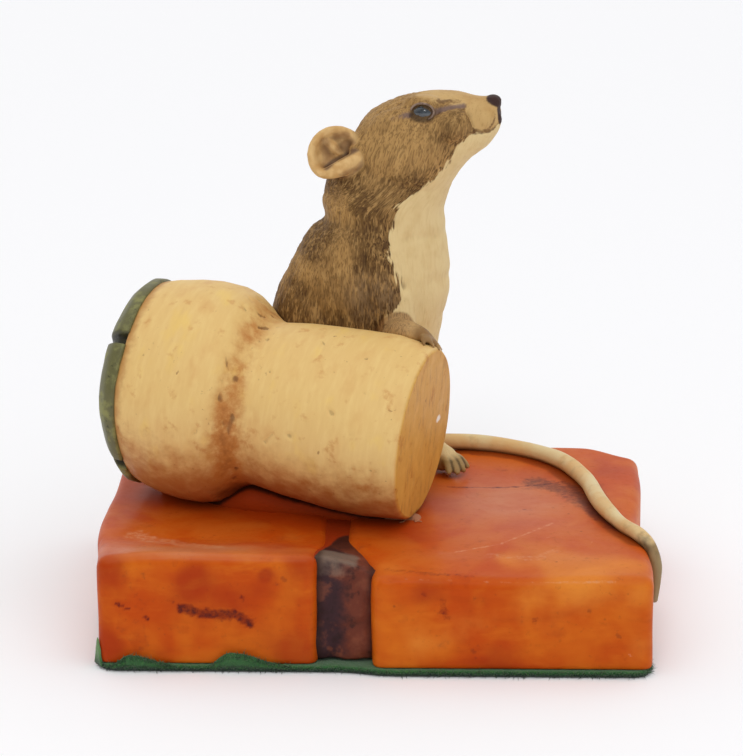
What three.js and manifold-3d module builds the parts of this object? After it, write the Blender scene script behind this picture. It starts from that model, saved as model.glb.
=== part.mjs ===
// A cast resin mouse that stands behind a champagne cork, on a base of two bricks with felt below.
// Millimetres, +Z up, +X towards the mouse's nose, -Y towards the cork's free side.
// The origin is the middle of the felt's underside.
import * as THREE from 'three';
import { mergeVertices } from 'three/addons/utils/BufferGeometryUtils.js';
import Module from 'manifold-3d';

const wasm = await Module();
wasm.setup();

// Clearance between pieces that touch
const GAP = 0.3;

// Base: two bricks side by side with a mortar joint between them
const BASE_WIDTH = 84;
const BASE_DEPTH = 60;
const BRICK_HEIGHT = 14.8;
const BRICK_ROUNDING = 1.8;
const LEFT_BRICK_SETBACK = 1.5;
const LEFT_LIP_RISE = 2.5;
const RIGHT_FRONT_FALL = 0.5;
const JOINT_X = -4.6;
const JOINT_WIDTH = 8.2;
const JOINT_NARROWING = 4.2;
const JOINT_RECESS = 1.7;
const CORNER_WEAR = 4.6;
const SIDE_WEAR = 1.5;
const LEFT_BULGE = 1.35;
const BACK_SWELL = 0.4;

// Felt pad below the bricks, lapped up the front face in places
const FELT_THICKNESS = 1;
const FELT_INSET = 0.4;
const FELT_PROUD = 0.6;
const FELT_ROUNDING = 2.2;
const LAP_THICKNESS = 0.5;
const LAP_FOOT = 2.2;
const LAP_LEFT_X = -40.2;
const LAP_LEFT_LENGTH = 10.3;
const LAP_LEFT_HEIGHT = 2.6;
const LAP_MIDDLE_X = -25;
const LAP_MIDDLE_LENGTH = 12.1;
const LAP_MIDDLE_HEIGHT = 3.1;
const CURL_LENGTH = 2.2;
const CURL_HEIGHT = 4.4;
const CURL_TURN = 38;

// Champagne cork: lengths along its axis start at the narrow end disc
const CORK_LENGTH = 49.3;
const CORK_END_RADIUS = 13.6;
const CORK_END_ROUNDING = 0.5;
const CORK_BELLY_RADIUS = 14.3;
const CORK_WAIST_RADIUS = 12.9;
const CORK_WAIST_AT = 26.5;
const CORK_HEAD_RADIUS = 17.4;
const CORK_HEAD_AT = 36.5;
const CORK_SINK = 0.5;
const CORK_TURN = 17.5;
const CORK_END_X = 7.1;
const CORK_SETBACK = 34.3;

// Painted cap over the cork's head, with a notch at each quarter
const CAP_DEPTH = 3.7;
const CAP_DRAW = 1.6;
const CAP_PROUD = 0.4;
const CAP_FACE_RADIUS = 14.6;
const CAP_NOTCH_WIDTH = 1.6;
const CAP_NOTCH_DEPTH = 1.6;
const CAP_NOTCHES = 4;
const CAP_LEAN = 2.1;

// Mouse: its height above the bricks, its middle's distance from the base's back edge, and its pose
const MOUSE_HEIGHT = 63;
const MOUSE_SETBACK = 12.5;
const HEAD_PITCH = 26;
const HEAD_TURN = 14;
const HEAD_ROLL = -8;
const LOCK_HEIGHT = 0.7;
const TAIL_ROOT_RADIUS = 1.8;

const BRICK_BOTTOM = FELT_THICKNESS + GAP;
const BRICK_TOP = BRICK_BOTTOM + BRICK_HEIGHT;
const FRONT = -BASE_DEPTH / 2;
const BACK = BASE_DEPTH / 2;
const RIGHT = BASE_WIDTH / 2;

// The mouse is drawn in its own frame, in units of a 63rd of its height
const unit = MOUSE_HEIGHT / 63;

const smooth = (value, from, to) => THREE.MathUtils.smoothstep(value, from, to);
const bump = (value, middle, width) => Math.exp(-(((value - middle) / width) ** 2));
const radians = THREE.MathUtils.degToRad;

// A closed geometry as a solid, without its seams and its triangles of no area
function solid(geometry) {
  geometry.deleteAttribute('normal');
  geometry.deleteAttribute('uv');
  const merged = mergeVertices(geometry, 1e-4);
  const corners = merged.index.array;
  const kept = [];
  for (let i = 0; i < corners.length; i += 3) {
    const [a, b, c] = [corners[i], corners[i + 1], corners[i + 2]];
    if (a !== b && b !== c && c !== a) kept.push(a, b, c);
  }
  return new wasm.Manifold(new wasm.Mesh({
    numProp: 3,
    vertProperties: Float32Array.from(merged.attributes.position.array),
    triVerts: Uint32Array.from(kept),
  }));
}

function joined(solids) {
  return solids.reduce((whole, piece) => whole.add(piece));
}

function meshOf(piece, name, material) {
  const { vertProperties, triVerts } = piece.getMesh();
  const geometry = new THREE.BufferGeometry();
  geometry.setAttribute('position', new THREE.BufferAttribute(vertProperties, 3));
  geometry.setIndex(new THREE.BufferAttribute(triVerts, 1));
  geometry.computeVertexNormals();
  const mesh = new THREE.Mesh(geometry, material);
  mesh.name = name;
  return mesh;
}

// Skins rings of equally many points, given in order along the form, and closes both ends with a fan
function skinned(rings) {
  const sides = rings[0].length;
  const points = rings.flat();
  const first = rings[0].reduce((sum, p) => sum.add(p), new THREE.Vector3()).divideScalar(sides);
  const last = rings.at(-1).reduce((sum, p) => sum.add(p), new THREE.Vector3()).divideScalar(sides);
  const firstIndex = points.length;
  points.push(first, last);
  const index = [];
  for (let side = 0; side < sides; side++) {
    const next = (side + 1) % sides;
    for (let ring = 0; ring < rings.length - 1; ring++) {
      const low = ring * sides;
      const high = low + sides;
      index.push(low + side, low + next, high + next, low + side, high + next, high + side);
    }
    const top = (rings.length - 1) * sides;
    index.push(firstIndex, next, side, firstIndex + 1, top + side, top + next);
  }
  const geometry = new THREE.BufferGeometry().setFromPoints(points);
  geometry.setIndex(index);
  return geometry;
}

// A limb along a smooth curve, with the radius at each of its points and a rounded tip
function limb(points, radii, steps, sides) {
  const curve = new THREE.CatmullRomCurve3(points, false, 'centripetal');
  const frames = curve.computeFrenetFrames(steps, false);
  const rings = [];
  for (let step = 0; step <= steps; step++) {
    const centre = curve.getPointAt(step / steps);
    const along = curve.getUtoTmapping(step / steps) * (radii.length - 1);
    const before = Math.min(Math.floor(along), radii.length - 2);
    const radius = THREE.MathUtils.lerp(radii[before], radii[before + 1], along - before);
    const ring = [];
    for (let side = 0; side < sides; side++) {
      const angle = side / sides * Math.PI * 2;
      const spoke = frames.normals[step].clone().multiplyScalar(Math.cos(angle));
      spoke.addScaledVector(frames.binormals[step], Math.sin(angle));
      ring.push(spoke.multiplyScalar(radius).add(centre));
    }
    rings.push(ring);
  }
  return solid(skinned(rings));
}

function ellipsoid(centre, radii, columns = 14, rows = 9, turn = new THREE.Euler()) {
  const geometry = new THREE.SphereGeometry(1, columns, rows);
  geometry.scale(...radii);
  geometry.applyMatrix4(new THREE.Matrix4().makeRotationFromEuler(turn));
  geometry.translate(...centre);
  return solid(geometry);
}

// Fur carved in staggered locks: each thickens towards its tip and ends in a step
function lock(along, around) {
  const column = Math.floor(around);
  const shifted = along + (column % 2) / 2 + 0.22 * Math.sin(column * 2.4);
  const ridge = Math.sin(Math.PI * (around - column));
  return (shifted - Math.floor(shifted)) * (0.15 + 0.85 * ridge);
}

// How far the right brick's end is worn in at a depth
function sideWear(y) {
  return SIDE_WEAR * (bump(y, -5, 11) + 0.12 * smooth(y, 0, BACK));
}

// How far the left brick's end swells out at a depth
function leftBulge(y) {
  return LEFT_BULGE * (bump(y, -7, 13) - 0.4 * smooth(y, 8, BACK));
}

// Height of the bricks' worn top at a place on the base
function topHeight(x, y) {
  const ripple = 0.15 * Math.sin(x / 5.3 + 1) * Math.sin(y / 7.1);
  if (x < JOINT_X) {
    const lip = LEFT_LIP_RISE * (1 - smooth(y, FRONT + 1, FRONT + 17));
    return BRICK_TOP + ripple + lip * (1 - 0.2 * smooth(-x, RIGHT - 8, RIGHT));
  }
  const swell = BACK_SWELL * bump(x, RIGHT - 11, 6) * smooth(y, BACK - 20, BACK - 2);
  return BRICK_TOP + ripple + swell - RIGHT_FRONT_FALL * (1 - smooth(y, FRONT, FRONT + 8));
}

// Moves a point of a brick's block to its place on the worn brick
function wear(point, middle, half, narrowing) {
  const outward = Math.sign(middle.x - JOINT_X);
  const fromJoint = (point.x - JOINT_X) * outward;
  if (outward > 0) {
    point.y -= CORNER_WEAR * smooth(point.y, BACK - 16, BACK) * smooth(point.x, RIGHT - 9, RIGHT);
  }
  if ((point.x - middle.x) * outward > 0) {
    const endwise = smooth(fromJoint, half.x, 2 * half.x + JOINT_WIDTH / 2 - 2);
    point.x -= (outward > 0 ? sideWear(point.y) : leftBulge(point.y)) * endwise;
  } else {
    const inwards = Math.min(1, (middle.x - point.x) * outward / 8);
    const shut = 1 - smooth(Math.abs(point.y), BACK - 17, BACK - 2);
    point.x -= outward * narrowing * shut * inwards;
  }
  const raised = Math.max(0, (point.z - BRICK_BOTTOM) / BRICK_HEIGHT);
  const side = outward > 0 ? Math.max(point.x, JOINT_X + 0.1) : Math.min(point.x, JOINT_X - 0.1);
  point.z += raised * (topHeight(side, point.y) - BRICK_TOP);
}

// One brick between two x values: a block with rounded edges, worn, and swollen by a clearance
function brick(x0, x1, front, narrowing, grow) {
  const half = new THREE.Vector3((x1 - x0) / 2, (BACK - front) / 2, BRICK_HEIGHT / 2);
  const middle = new THREE.Vector3((x0 + x1) / 2, (BACK + front) / 2, (BRICK_BOTTOM + BRICK_TOP) / 2);
  const geometry = new THREE.BoxGeometry(2, 2, 2, 8, 10, 3);
  const position = geometry.attributes.position;
  const point = new THREE.Vector3();
  const core = new THREE.Vector3();
  const inner = half.clone().subScalar(BRICK_ROUNDING);
  for (let i = 0; i < position.count; i++) {
    point.fromBufferAttribute(position, i);
    point.set(...point.toArray().map((share) => Math.sin(share * Math.PI / 2))).multiply(half);
    core.copy(point).clamp(inner.clone().negate(), inner);
    point.sub(core).setLength(BRICK_ROUNDING + grow).add(core).add(middle);
    wear(point, middle, half, narrowing);
    position.setXYZ(i, ...point.toArray());
  }
  return solid(geometry);
}

// The joint's filling: a lumpy block that reaches into both bricks and stops short of their faces
function mortar(grow) {
  const width = JOINT_WIDTH + 4 * BRICK_ROUNDING;
  const depth = BASE_DEPTH - LEFT_BRICK_SETBACK - 2 * JOINT_RECESS;
  const geometry = new THREE.BoxGeometry(width, depth, BRICK_HEIGHT, 5, 8, 4);
  const position = geometry.attributes.position;
  for (let i = 0; i < position.count; i++) {
    const [x, y, z] = [position.getX(i), position.getY(i), position.getZ(i)];
    const lump = 0.3 * Math.sin(x * 1.3 + z * 0.9) * Math.cos(z * 0.7 - x);
    const sunk = z > 0 ? 0.5 + 0.25 * Math.sin(y * 0.8) : 0;
    if (Math.abs(y) > depth / 2 - 0.1) position.setY(i, y + Math.sign(y) * (lump + grow));
    position.setZ(i, z - sunk * z / BRICK_HEIGHT * 2);
  }
  geometry.translate(JOINT_X, LEFT_BRICK_SETBACK / 2, (BRICK_BOTTOM + BRICK_TOP) / 2);
  return solid(geometry);
}

function bricks(grow) {
  const leftInner = JOINT_X - JOINT_WIDTH / 2;
  const rightInner = JOINT_X + JOINT_WIDTH / 2;
  return joined([
    brick(-RIGHT, leftInner, FRONT + LEFT_BRICK_SETBACK, JOINT_NARROWING / 3, grow),
    brick(rightInner, RIGHT, FRONT, JOINT_NARROWING, grow),
    mortar(grow),
  ]);
}

// The felt's outline, seen from above. It stands a little proud of the bricks' front.
function feltOutline() {
  const width = RIGHT - FELT_INSET;
  const narrow = width - SIDE_WEAR;
  const depth = BACK - FELT_INSET;
  const back = depth - CORNER_WEAR / 2;
  const front = FRONT - FELT_PROUD;
  const leftFront = front + LEFT_BRICK_SETBACK;
  const leftEnd = JOINT_X - JOINT_WIDTH / 2 - 2;
  const rightStart = JOINT_X + JOINT_WIDTH / 2 + 3;
  const outline = new THREE.Shape();
  outline.moveTo(-width + FELT_ROUNDING, leftFront);
  outline.lineTo(leftEnd, leftFront);
  outline.bezierCurveTo(JOINT_X + 1, leftFront, JOINT_X + 3, front, rightStart, front);
  outline.lineTo(width - FELT_ROUNDING, front);
  outline.quadraticCurveTo(width, front, width, front + FELT_ROUNDING);
  outline.lineTo(narrow, 0);
  outline.lineTo(narrow, back - FELT_ROUNDING);
  outline.quadraticCurveTo(narrow, back, width - 3 * FELT_ROUNDING, back);
  outline.lineTo(width / 2, depth);
  outline.lineTo(-width / 2, depth);
  outline.lineTo(-width + 3 * FELT_ROUNDING, back);
  outline.quadraticCurveTo(-narrow, back, -narrow, back - FELT_ROUNDING);
  outline.lineTo(-narrow, 0);
  outline.lineTo(-width, leftFront + FELT_ROUNDING);
  outline.quadraticCurveTo(-width, leftFront, -width + FELT_ROUNDING, leftFront);
  return outline;
}

// A flap of felt that runs along +X from the origin, with a foot that joins it to the pad
function lap(length, height, peakAt) {
  const outline = new THREE.Shape();
  outline.moveTo(0, 0);
  outline.lineTo(length, 0);
  outline.lineTo(length, FELT_THICKNESS);
  outline.quadraticCurveTo(length, height * 0.8, length * peakAt, height);
  outline.quadraticCurveTo(0, height * 0.8, 0, FELT_THICKNESS);
  const flap = new THREE.ExtrudeGeometry(outline, {
    depth: LAP_THICKNESS,
    bevelEnabled: false,
    curveSegments: 4,
  });
  flap.rotateX(Math.PI / 2);
  const foot = new THREE.BoxGeometry(length, LAP_FOOT, FELT_THICKNESS);
  foot.translate(length / 2, LAP_FOOT / 2 - LAP_THICKNESS, FELT_THICKNESS / 2);
  return solid(flap).add(solid(foot));
}

// Felt: a sheet with a flap up the front in two places and a curl on the left front corner
function felt() {
  const sheet = new THREE.ExtrudeGeometry(feltOutline(), {
    depth: FELT_THICKNESS,
    bevelEnabled: false,
    curveSegments: 5,
  });
  const faceY = FRONT + LEFT_BRICK_SETBACK;
  const curl = lap(CURL_LENGTH, CURL_HEIGHT, 0.5)
    .translate([-CURL_LENGTH / 2, -BRICK_ROUNDING - GAP, 0])
    .rotate([0, 0, -CURL_TURN])
    .translate([-RIGHT + BRICK_ROUNDING, faceY + BRICK_ROUNDING, 0]);
  return joined([
    solid(sheet),
    lap(LAP_LEFT_LENGTH, LAP_LEFT_HEIGHT, 0.25).translate([LAP_LEFT_X, faceY - GAP, 0]),
    lap(LAP_MIDDLE_LENGTH, LAP_MIDDLE_HEIGHT, 0.25).translate([LAP_MIDDLE_X, faceY - GAP, 0]),
    curl,
  ]);
}

// The cork's axis: from the middle of the end disc towards the cap
const corkRise = (CORK_HEAD_RADIUS - CORK_SINK - CORK_END_RADIUS) / CORK_HEAD_AT;
const corkAxis = new THREE.Vector3(
  -Math.cos(radians(CORK_TURN)) * Math.cos(Math.asin(corkRise)),
  Math.sin(radians(CORK_TURN)) * Math.cos(Math.asin(corkRise)),
  corkRise,
);
const corkEnd = new THREE.Vector3(CORK_END_X, BACK - CORK_SETBACK, BRICK_TOP + CORK_END_RADIUS + GAP / 2);

// Places local +Y along the cork's axis, with local +Z as far up as it can be
function corkPlacement() {
  const side = new THREE.Vector3().crossVectors(corkAxis, new THREE.Vector3(0, 0, 1)).normalize();
  const up = new THREE.Vector3().crossVectors(side, corkAxis);
  return new THREE.Matrix4().makeBasis(side, corkAxis, up).setPosition(corkEnd);
}

// A place on the cork: along its axis, turned from its top towards its back, and lifted off its skin
function onCork(along, turn, lift) {
  const radius = CORK_END_RADIUS + lift;
  const local = new THREE.Vector3(Math.sin(radians(turn)) * radius, along, Math.cos(radians(turn)) * radius);
  return local.applyMatrix4(corkPlacement());
}

// Radius and place along the axis, from the end disc to the edge of the cap
function corkOutline() {
  const capStart = CORK_LENGTH - CAP_DEPTH;
  const flare = (share) => CORK_WAIST_RADIUS + share * (CORK_HEAD_RADIUS - CORK_WAIST_RADIUS);
  const neck = (share) => CORK_WAIST_AT + share * (CORK_HEAD_AT - CORK_WAIST_AT);
  return [
    [CORK_END_RADIUS - CORK_END_ROUNDING, 0],
    [CORK_END_RADIUS, CORK_END_ROUNDING],
    [CORK_BELLY_RADIUS, CORK_WAIST_AT * 0.25],
    [CORK_BELLY_RADIUS - 0.1, CORK_WAIST_AT * 0.45],
    [(CORK_BELLY_RADIUS + CORK_WAIST_RADIUS) / 2, CORK_WAIST_AT * 0.78],
    [CORK_WAIST_RADIUS + 0.15, CORK_WAIST_AT * 0.94],
    [CORK_WAIST_RADIUS, CORK_WAIST_AT],
    [flare(0.52), neck(0.22)],
    [flare(0.82), neck(0.41)],
    [flare(0.98), neck(0.65)],
    [CORK_HEAD_RADIUS, CORK_HEAD_AT],
    [CORK_HEAD_RADIUS - CAP_DRAW * 0.15, (CORK_HEAD_AT + capStart) / 2 - 1.5],
    [CORK_HEAD_RADIUS - CAP_DRAW * 0.55, capStart - 2.4],
    [CORK_HEAD_RADIUS - CAP_DRAW, capStart],
  ];
}

// Turns an outline round the cork's axis. Its capped end leans back towards the bottom.
function turned(outline) {
  const lathe = new THREE.LatheGeometry(outline.map(([r, s]) => new THREE.Vector2(r, s)), 30);
  const position = lathe.attributes.position;
  for (let i = 0; i < position.count; i++) {
    const low = smooth(-position.getZ(i), -4, CORK_HEAD_RADIUS);
    const capwards = smooth(position.getY(i), CORK_HEAD_AT, CORK_LENGTH);
    position.setY(i, position.getY(i) - CAP_LEAN * low * capwards);
  }
  return solid(lathe);
}

// The cork with its painted cap, swollen by a clearance. Only the cork itself has the notches.
function cork(grow) {
  const capStart = CORK_LENGTH - CAP_DEPTH;
  const rim = CORK_HEAD_RADIUS - CAP_DRAW + CAP_PROUD;
  const skin = corkOutline().map(([r, s]) => [r + grow, s === 0 ? -grow : s]);
  const body = [
    [0, -grow],
    ...skin,
    [CAP_FACE_RADIUS - 0.6 + grow, CORK_LENGTH - 0.6 + grow],
    [0, CORK_LENGTH - 0.6 + grow],
  ];
  const cap = [
    [0, capStart],
    [rim + grow, capStart - grow],
    [rim - 0.1 + grow, capStart + CAP_DEPTH * 0.4],
    [CAP_FACE_RADIUS + 0.3 + grow, CORK_LENGTH - 0.9 + grow],
    [CAP_FACE_RADIUS - 1.2 + grow, CORK_LENGTH - 0.25 + grow],
    [0, CORK_LENGTH + grow],
  ];
  let shape = turned(body).add(turned(cap));
  for (let notch = 0; notch < (grow ? 0 : CAP_NOTCHES); notch++) {
    const slot = new THREE.BoxGeometry(CAP_NOTCH_DEPTH * 2, CAP_DEPTH * 2, CAP_NOTCH_WIDTH);
    slot.translate(rim, CORK_LENGTH, 0);
    slot.rotateY((notch + 0.62) / CAP_NOTCHES * Math.PI * 2);
    shape = shape.subtract(solid(slot));
  }
  return shape.transform(corkPlacement().toArray());
}

// Skins a body between its front and back outlines. The front's points carry half the width in y.
function skinnedBetween(front, back, middleY, steps, sides, locks) {
  const line = (points) => new THREE.CatmullRomCurve3(points, false, 'centripetal');
  const frontLine = line(front.map(([x, z, width]) => new THREE.Vector3(x, width, z)));
  const backLine = line(back.map(([x, z]) => new THREE.Vector3(x, 0, z)));
  const rings = [];
  for (let step = 0; step <= steps; step++) {
    const ahead = frontLine.getPoint(step / steps);
    const behind = backLine.getPoint(step / steps);
    const centre = ahead.clone().add(behind).multiplyScalar(0.5);
    centre.y = middleY(step / steps);
    const reach = ahead.clone().setY(0).sub(behind).multiplyScalar(0.5);
    const ring = [];
    for (let side = 0; side < sides; side++) {
      const angle = side / sides * Math.PI * 2;
      const carving = locks(step / steps, side / sides) / reach.length();
      const point = reach.clone().multiplyScalar(Math.cos(angle) * (1 + carving)).add(centre);
      point.y += Math.sin(angle) * (ahead.y * (1 + carving));
      ring.push(point);
    }
    rings.push(ring);
  }
  return skinned(rings);
}

// Torso from the haunches to the neck: x, height above the bricks, and half the width
const TORSO_FRONT = [
  [3, 1.2, 6], [6.5, 3.2, 8], [8.2, 8, 9], [8.8, 15, 9.5], [9.2, 22, 9.3], [10.2, 27, 9],
  [11, 32, 8.8], [10.7, 37, 8.4], [10.2, 41.2, 8], [9.9, 43.6, 7.8], [10.4, 46, 7.8],
  [11.2, 48.5, 7.4], [11.8, 51, 6.6], [10, 54, 5],
];
const TORSO_BACK = [
  [-10, 1.2], [-15, 3], [-17.8, 8], [-18.5, 15], [-18, 22], [-16.9, 27.5],
  [-15, 33.2], [-13, 37], [-11, 40.2], [-8.6, 42.3], [-8.9, 45.5],
  [-8, 49], [-5.4, 53], [-2, 56],
];

function torso() {
  const rows = 10;
  const columns = 12;
  const carving = (t, turn) => {
    const belly = smooth(Math.cos(turn * Math.PI * 2), 0.1, 0.7);
    return LOCK_HEIGHT / unit * (1 - 0.7 * belly) * lock((1 - t) * rows, turn * columns);
  };
  const middle = (t) => 1 - t;
  const geometry = skinnedBetween(TORSO_FRONT, TORSO_BACK, middle, 34, 26, carving);
  return solid(geometry);
}

// Head in its own frame: +X towards the nose, with the skull's middle at the origin
const HEAD_BELOW = [
  [-7.2, -3, 3.5], [-6.5, -5.5, 5.8], [-3.5, -7.5, 7.4], [0, -8.2, 8], [4, -7.4, 7.7], [7, -5.8, 6.6],
  [10, -4.6, 5.2], [12.5, -4.1, 4], [14.3, -3.3, 3.2], [15.7, -2.2, 2.4], [16.7, -0.6, 1.5],
];
const HEAD_ABOVE = [
  [-7.2, 3], [-6, 5.8], [-3.5, 7.6], [0, 8.3], [3.5, 8.2], [6.5, 7.6],
  [9.5, 6.6], [12.2, 5.2], [14.2, 3.8], [15.7, 3.1], [17, 2.4],
];

function head() {
  const carving = (t, turn) => {
    const bare = smooth(t, 0.55, 0.75);
    return LOCK_HEIGHT / unit * 0.7 * (1 - bare) * lock((1 - t) * 7, turn * 11);
  };
  const skull = solid(skinnedBetween(HEAD_BELOW, HEAD_ABOVE, () => 0, 20, 20, carving));
  const forms = [skull, ellipsoid([16.5, 0, 1.6], [1.3, 1.6, 1.6], 8, 6)];
  for (const side of [-1, 1]) {
    forms.push(ellipsoid([13.5, side * 1.9, 0.2], [2.4, 1.7, 2.2], 8, 5));
    forms.push(ellipsoid([6.9, side * 4.7, 4.2], [1.9, 1.5, 1.6], 8, 5));
    forms.push(ellipsoid([6.9, side * 3.4, 5.8], [3, 1.6, 1.1], 8, 4));
  }
  return joined([...forms, ear(NEAR_EAR), ear(FAR_EAR)]);
}

// The way each ear opens and where its middle is, in the head's frame. The far ear is laid back.
const NEAR_EAR = { opening: [0.35, -0.85, 0], middle: [-8.35, -7.1, 3.3] };
const FAR_EAR = { opening: [0.1, 0.95, 0.1], middle: [-6.3, 7.2, 0.9] };

// An ear: a cupped shell with a rolled rim, on a root that reaches into the skull
function ear(pose) {
  const radius = 4.65;
  const wall = 0.75;
  const profile = [
    [0, -2.2], [radius * 0.6, -1.7], [radius * 0.93, -0.4], [radius, 0.5], [radius - wall * 0.5, 0.9],
    [radius - wall, 0.4], [radius * 0.52, -0.9], [0, -1.4],
  ];
  const cup = new THREE.LatheGeometry(profile.map(([r, s]) => new THREE.Vector2(r, s)), 14);
  const middle = new THREE.Vector3(...pose.middle);
  const opening = new THREE.Vector3(...pose.opening).normalize();
  cup.applyQuaternion(new THREE.Quaternion().setFromUnitVectors(new THREE.Vector3(0, 1, 0), opening));
  cup.translate(...middle.toArray());
  const root = middle.lerp(new THREE.Vector3(-2, Math.sign(pose.opening[1]) * 4, 1), 0.6);
  return solid(cup).add(ellipsoid(root.toArray(), [2.6, 1.6, 2.7], 8, 5));
}

// Turns the head's frame to the pose and sets it on the neck
function headPlacement() {
  const turn = new THREE.Euler(radians(HEAD_ROLL), -radians(HEAD_PITCH), -radians(HEAD_TURN), 'ZYX');
  return new THREE.Matrix4().makeRotationFromEuler(turn).setPosition(4, 0, 53.3);
}

// Digits fanned from the middle of a paw or foot
function digits(from, tips, radius) {
  return tips.map((tip) => {
    const knuckle = from.clone().lerp(tip, 0.55).add(new THREE.Vector3(0, 0, radius));
    return limb([from, knuckle, tip], [radius * 1.1, radius, radius * 0.45], 3, 5);
  });
}

function hindFoot(heel, toe, spread) {
  const forward = toe.clone().sub(heel).normalize();
  const across = new THREE.Vector3(-forward.y, forward.x, 0);
  const ball = heel.clone().lerp(toe, 0.5);
  const sole = limb([heel, ball, ball.clone().lerp(toe, 0.3)], [1.5, 1.7, 1.1], 5, 8);
  const tips = [-1.1, -0.35, 0.4, 1.15].map((share) =>
    toe.clone().addScaledVector(across, share * spread).addScaledVector(forward, -0.5 * share * share));
  return joined([sole, ...digits(ball, tips, 0.85)]);
}

// Haunches, feet and the tucked left forepaw, in the mouse's frame
function lowerLimbs() {
  const at = (x, y, z) => new THREE.Vector3(x, y, z);
  const lean = new THREE.Euler(0, 0.35, 0);
  const haunches = [-1, 1].map((side) => ellipsoid([-4.5, side * 5.9 + 0.9, 11.2], [10, 5, 9.5], 12, 9, lean));
  const shins = [
    limb([at(1, -5.5, 6), at(3.5, -5, 3), at(3, -4.6, 1.6)], [2.8, 1.9, 1.4], 6, 8),
    limb([at(1.5, 5, 8), at(7, 3.8, 4.8), at(8.6, 2.6, 2.4)], [3.2, 2.1, 1.7], 6, 8),
  ];
  const feet = [
    hindFoot(at(1, -5.2, 1.2), at(8, -6, 0.9), 1.6),
    hindFoot(at(8.2, 2.6, 1.9), at(14, -2, 1), 2),
  ];
  const leftWrist = at(8.2, 6, 29);
  const leftCourse = [at(3, 6, 34), at(3.5, 8.6, 29), at(6.6, 8, 27.2), leftWrist];
  const leftArm = limb(leftCourse, [3, 2.4, 1.6, 1.3], 8, 8);
  const tips = [at(9.4, 3.6, 30), at(9.8, 4.4, 31.4), at(9.2, 5.6, 32.4)];
  return joined([...haunches, ...shins, ...feet, leftArm, ...digits(leftWrist, tips, 0.6)]);
}

// The right forearm lies along the cork's top and its fingers reach over the edge of the end disc
function rightArm(shoulder) {
  const wrist = onCork(3.6 * unit, 24, 1.2 * unit);
  const course = [
    shoulder,
    onCork(9.5 * unit, 50, 2.2 * unit),
    onCork(7.5 * unit, 33, 1.7 * unit),
    wrist,
    onCork(2.6 * unit, 23, 0.9 * unit),
  ];
  const forearm = limb(course, [3.6, 2.9, 2.1, 1.5, 1.2].map((radius) => radius * unit), 9, 8);
  const tips = [
    onCork(1.8 * unit, 7, 0.3),
    onCork(0.4 * unit, 10, 0.2),
    onCork(-0.1, 18, -0.3),
    onCork(0.1, 26, -0.2),
  ];
  return joined([forearm, ...digits(wrist, tips, 0.55 * unit)]);
}

// The tail past the rump: distance from the base's right and back edges, and the radius there
const TAIL_COURSE = [
  [38, 1.3, 1.4], [27.4, 1.4, 1.3], [19.2, 4.6, 1.25], [13.3, 10.2, 1.35], [9.2, 19.6, 1.35],
  [7, 31, 1.35], [4.2, 39, 1.1], [1.5, 44.5, 1.1],
];

// Its end hangs down the right side: distance from the back edge, drop and radius
const TAIL_END = [[46.6, 0.3, 1], [47.8, 2.6, 0.9], [48.4, 5.2, 0.75], [48.8, 7.6, 0.6]];

// Tail: from the rump, along the bricks' back, across the right brick and down its side
function tail(root) {
  const laid = (x, y, radius) => new THREE.Vector3(x, y, topHeight(x, y) + radius + GAP / 2);
  const hung = (y, drop, radius) =>
    new THREE.Vector3(RIGHT - sideWear(y) + GAP + radius * 0.9, y, BRICK_TOP - drop);
  const points = [
    root,
    laid(root.x + 0.5 * unit, BACK - 4 * unit, TAIL_ROOT_RADIUS),
    laid(root.x + 6.5 * unit, BACK - 1.4 * unit, TAIL_ROOT_RADIUS),
    ...TAIL_COURSE.map(([inset, setback, radius]) => laid(RIGHT - inset, BACK - setback, radius)),
    ...TAIL_END.map(([setback, drop, radius]) => hung(BACK - setback, drop, radius)),
  ];
  const radii = [
    TAIL_ROOT_RADIUS * 1.45,
    TAIL_ROOT_RADIUS * 1.15,
    TAIL_ROOT_RADIUS,
    ...TAIL_COURSE.map(([, , radius]) => radius),
    ...TAIL_END.map(([, , radius]) => radius),
  ];
  return limb(points, radii, 42, 7);
}

function mouse() {
  const placement = new THREE.Matrix4().makeScale(unit, unit, unit);
  placement.setPosition(0, BACK - MOUSE_SETBACK, BRICK_TOP);
  const figure = joined([torso(), head().transform(headPlacement().toArray()), lowerLimbs()]);
  const placed = (x, y, z) => new THREE.Vector3(x, y, z).applyMatrix4(placement);
  const whole = joined([
    figure.transform(placement.toArray()),
    rightArm(placed(2, -5, 31)),
    tail(placed(-13, 2.5, 4)),
  ]);
  return whole.subtract(cork(GAP)).subtract(bricks(GAP));
}

const MATERIALS = {
  brick: new THREE.MeshStandardMaterial({ color: 0xc8551d, roughness: 0.38, metalness: 0 }),
  felt: new THREE.MeshStandardMaterial({ color: 0x2c6640, roughness: 1, metalness: 0 }),
  cork: new THREE.MeshStandardMaterial({ color: 0xd2a468, roughness: 0.5, metalness: 0 }),
  mouse: new THREE.MeshStandardMaterial({ color: 0x7d6040, roughness: 0.6, metalness: 0 }),
};

const group = new THREE.Group();
group.add(meshOf(bricks(0).subtract(cork(GAP)), 'brick_base', MATERIALS.brick));
group.add(meshOf(felt(), 'felt_pad', MATERIALS.felt));
group.add(meshOf(cork(0), 'champagne_cork', MATERIALS.cork));
group.add(meshOf(mouse(), 'mouse', MATERIALS.mouse));

export default group;
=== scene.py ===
# Mouse figurine: a resin mouse behind a champagne cork, on two bricks with felt below.
# Lengths in the shape functions are millimetres, in the frame's own axes.
# A mark is a number kept at each point of a surface, which the paint reads.
import itertools
import math

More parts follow.
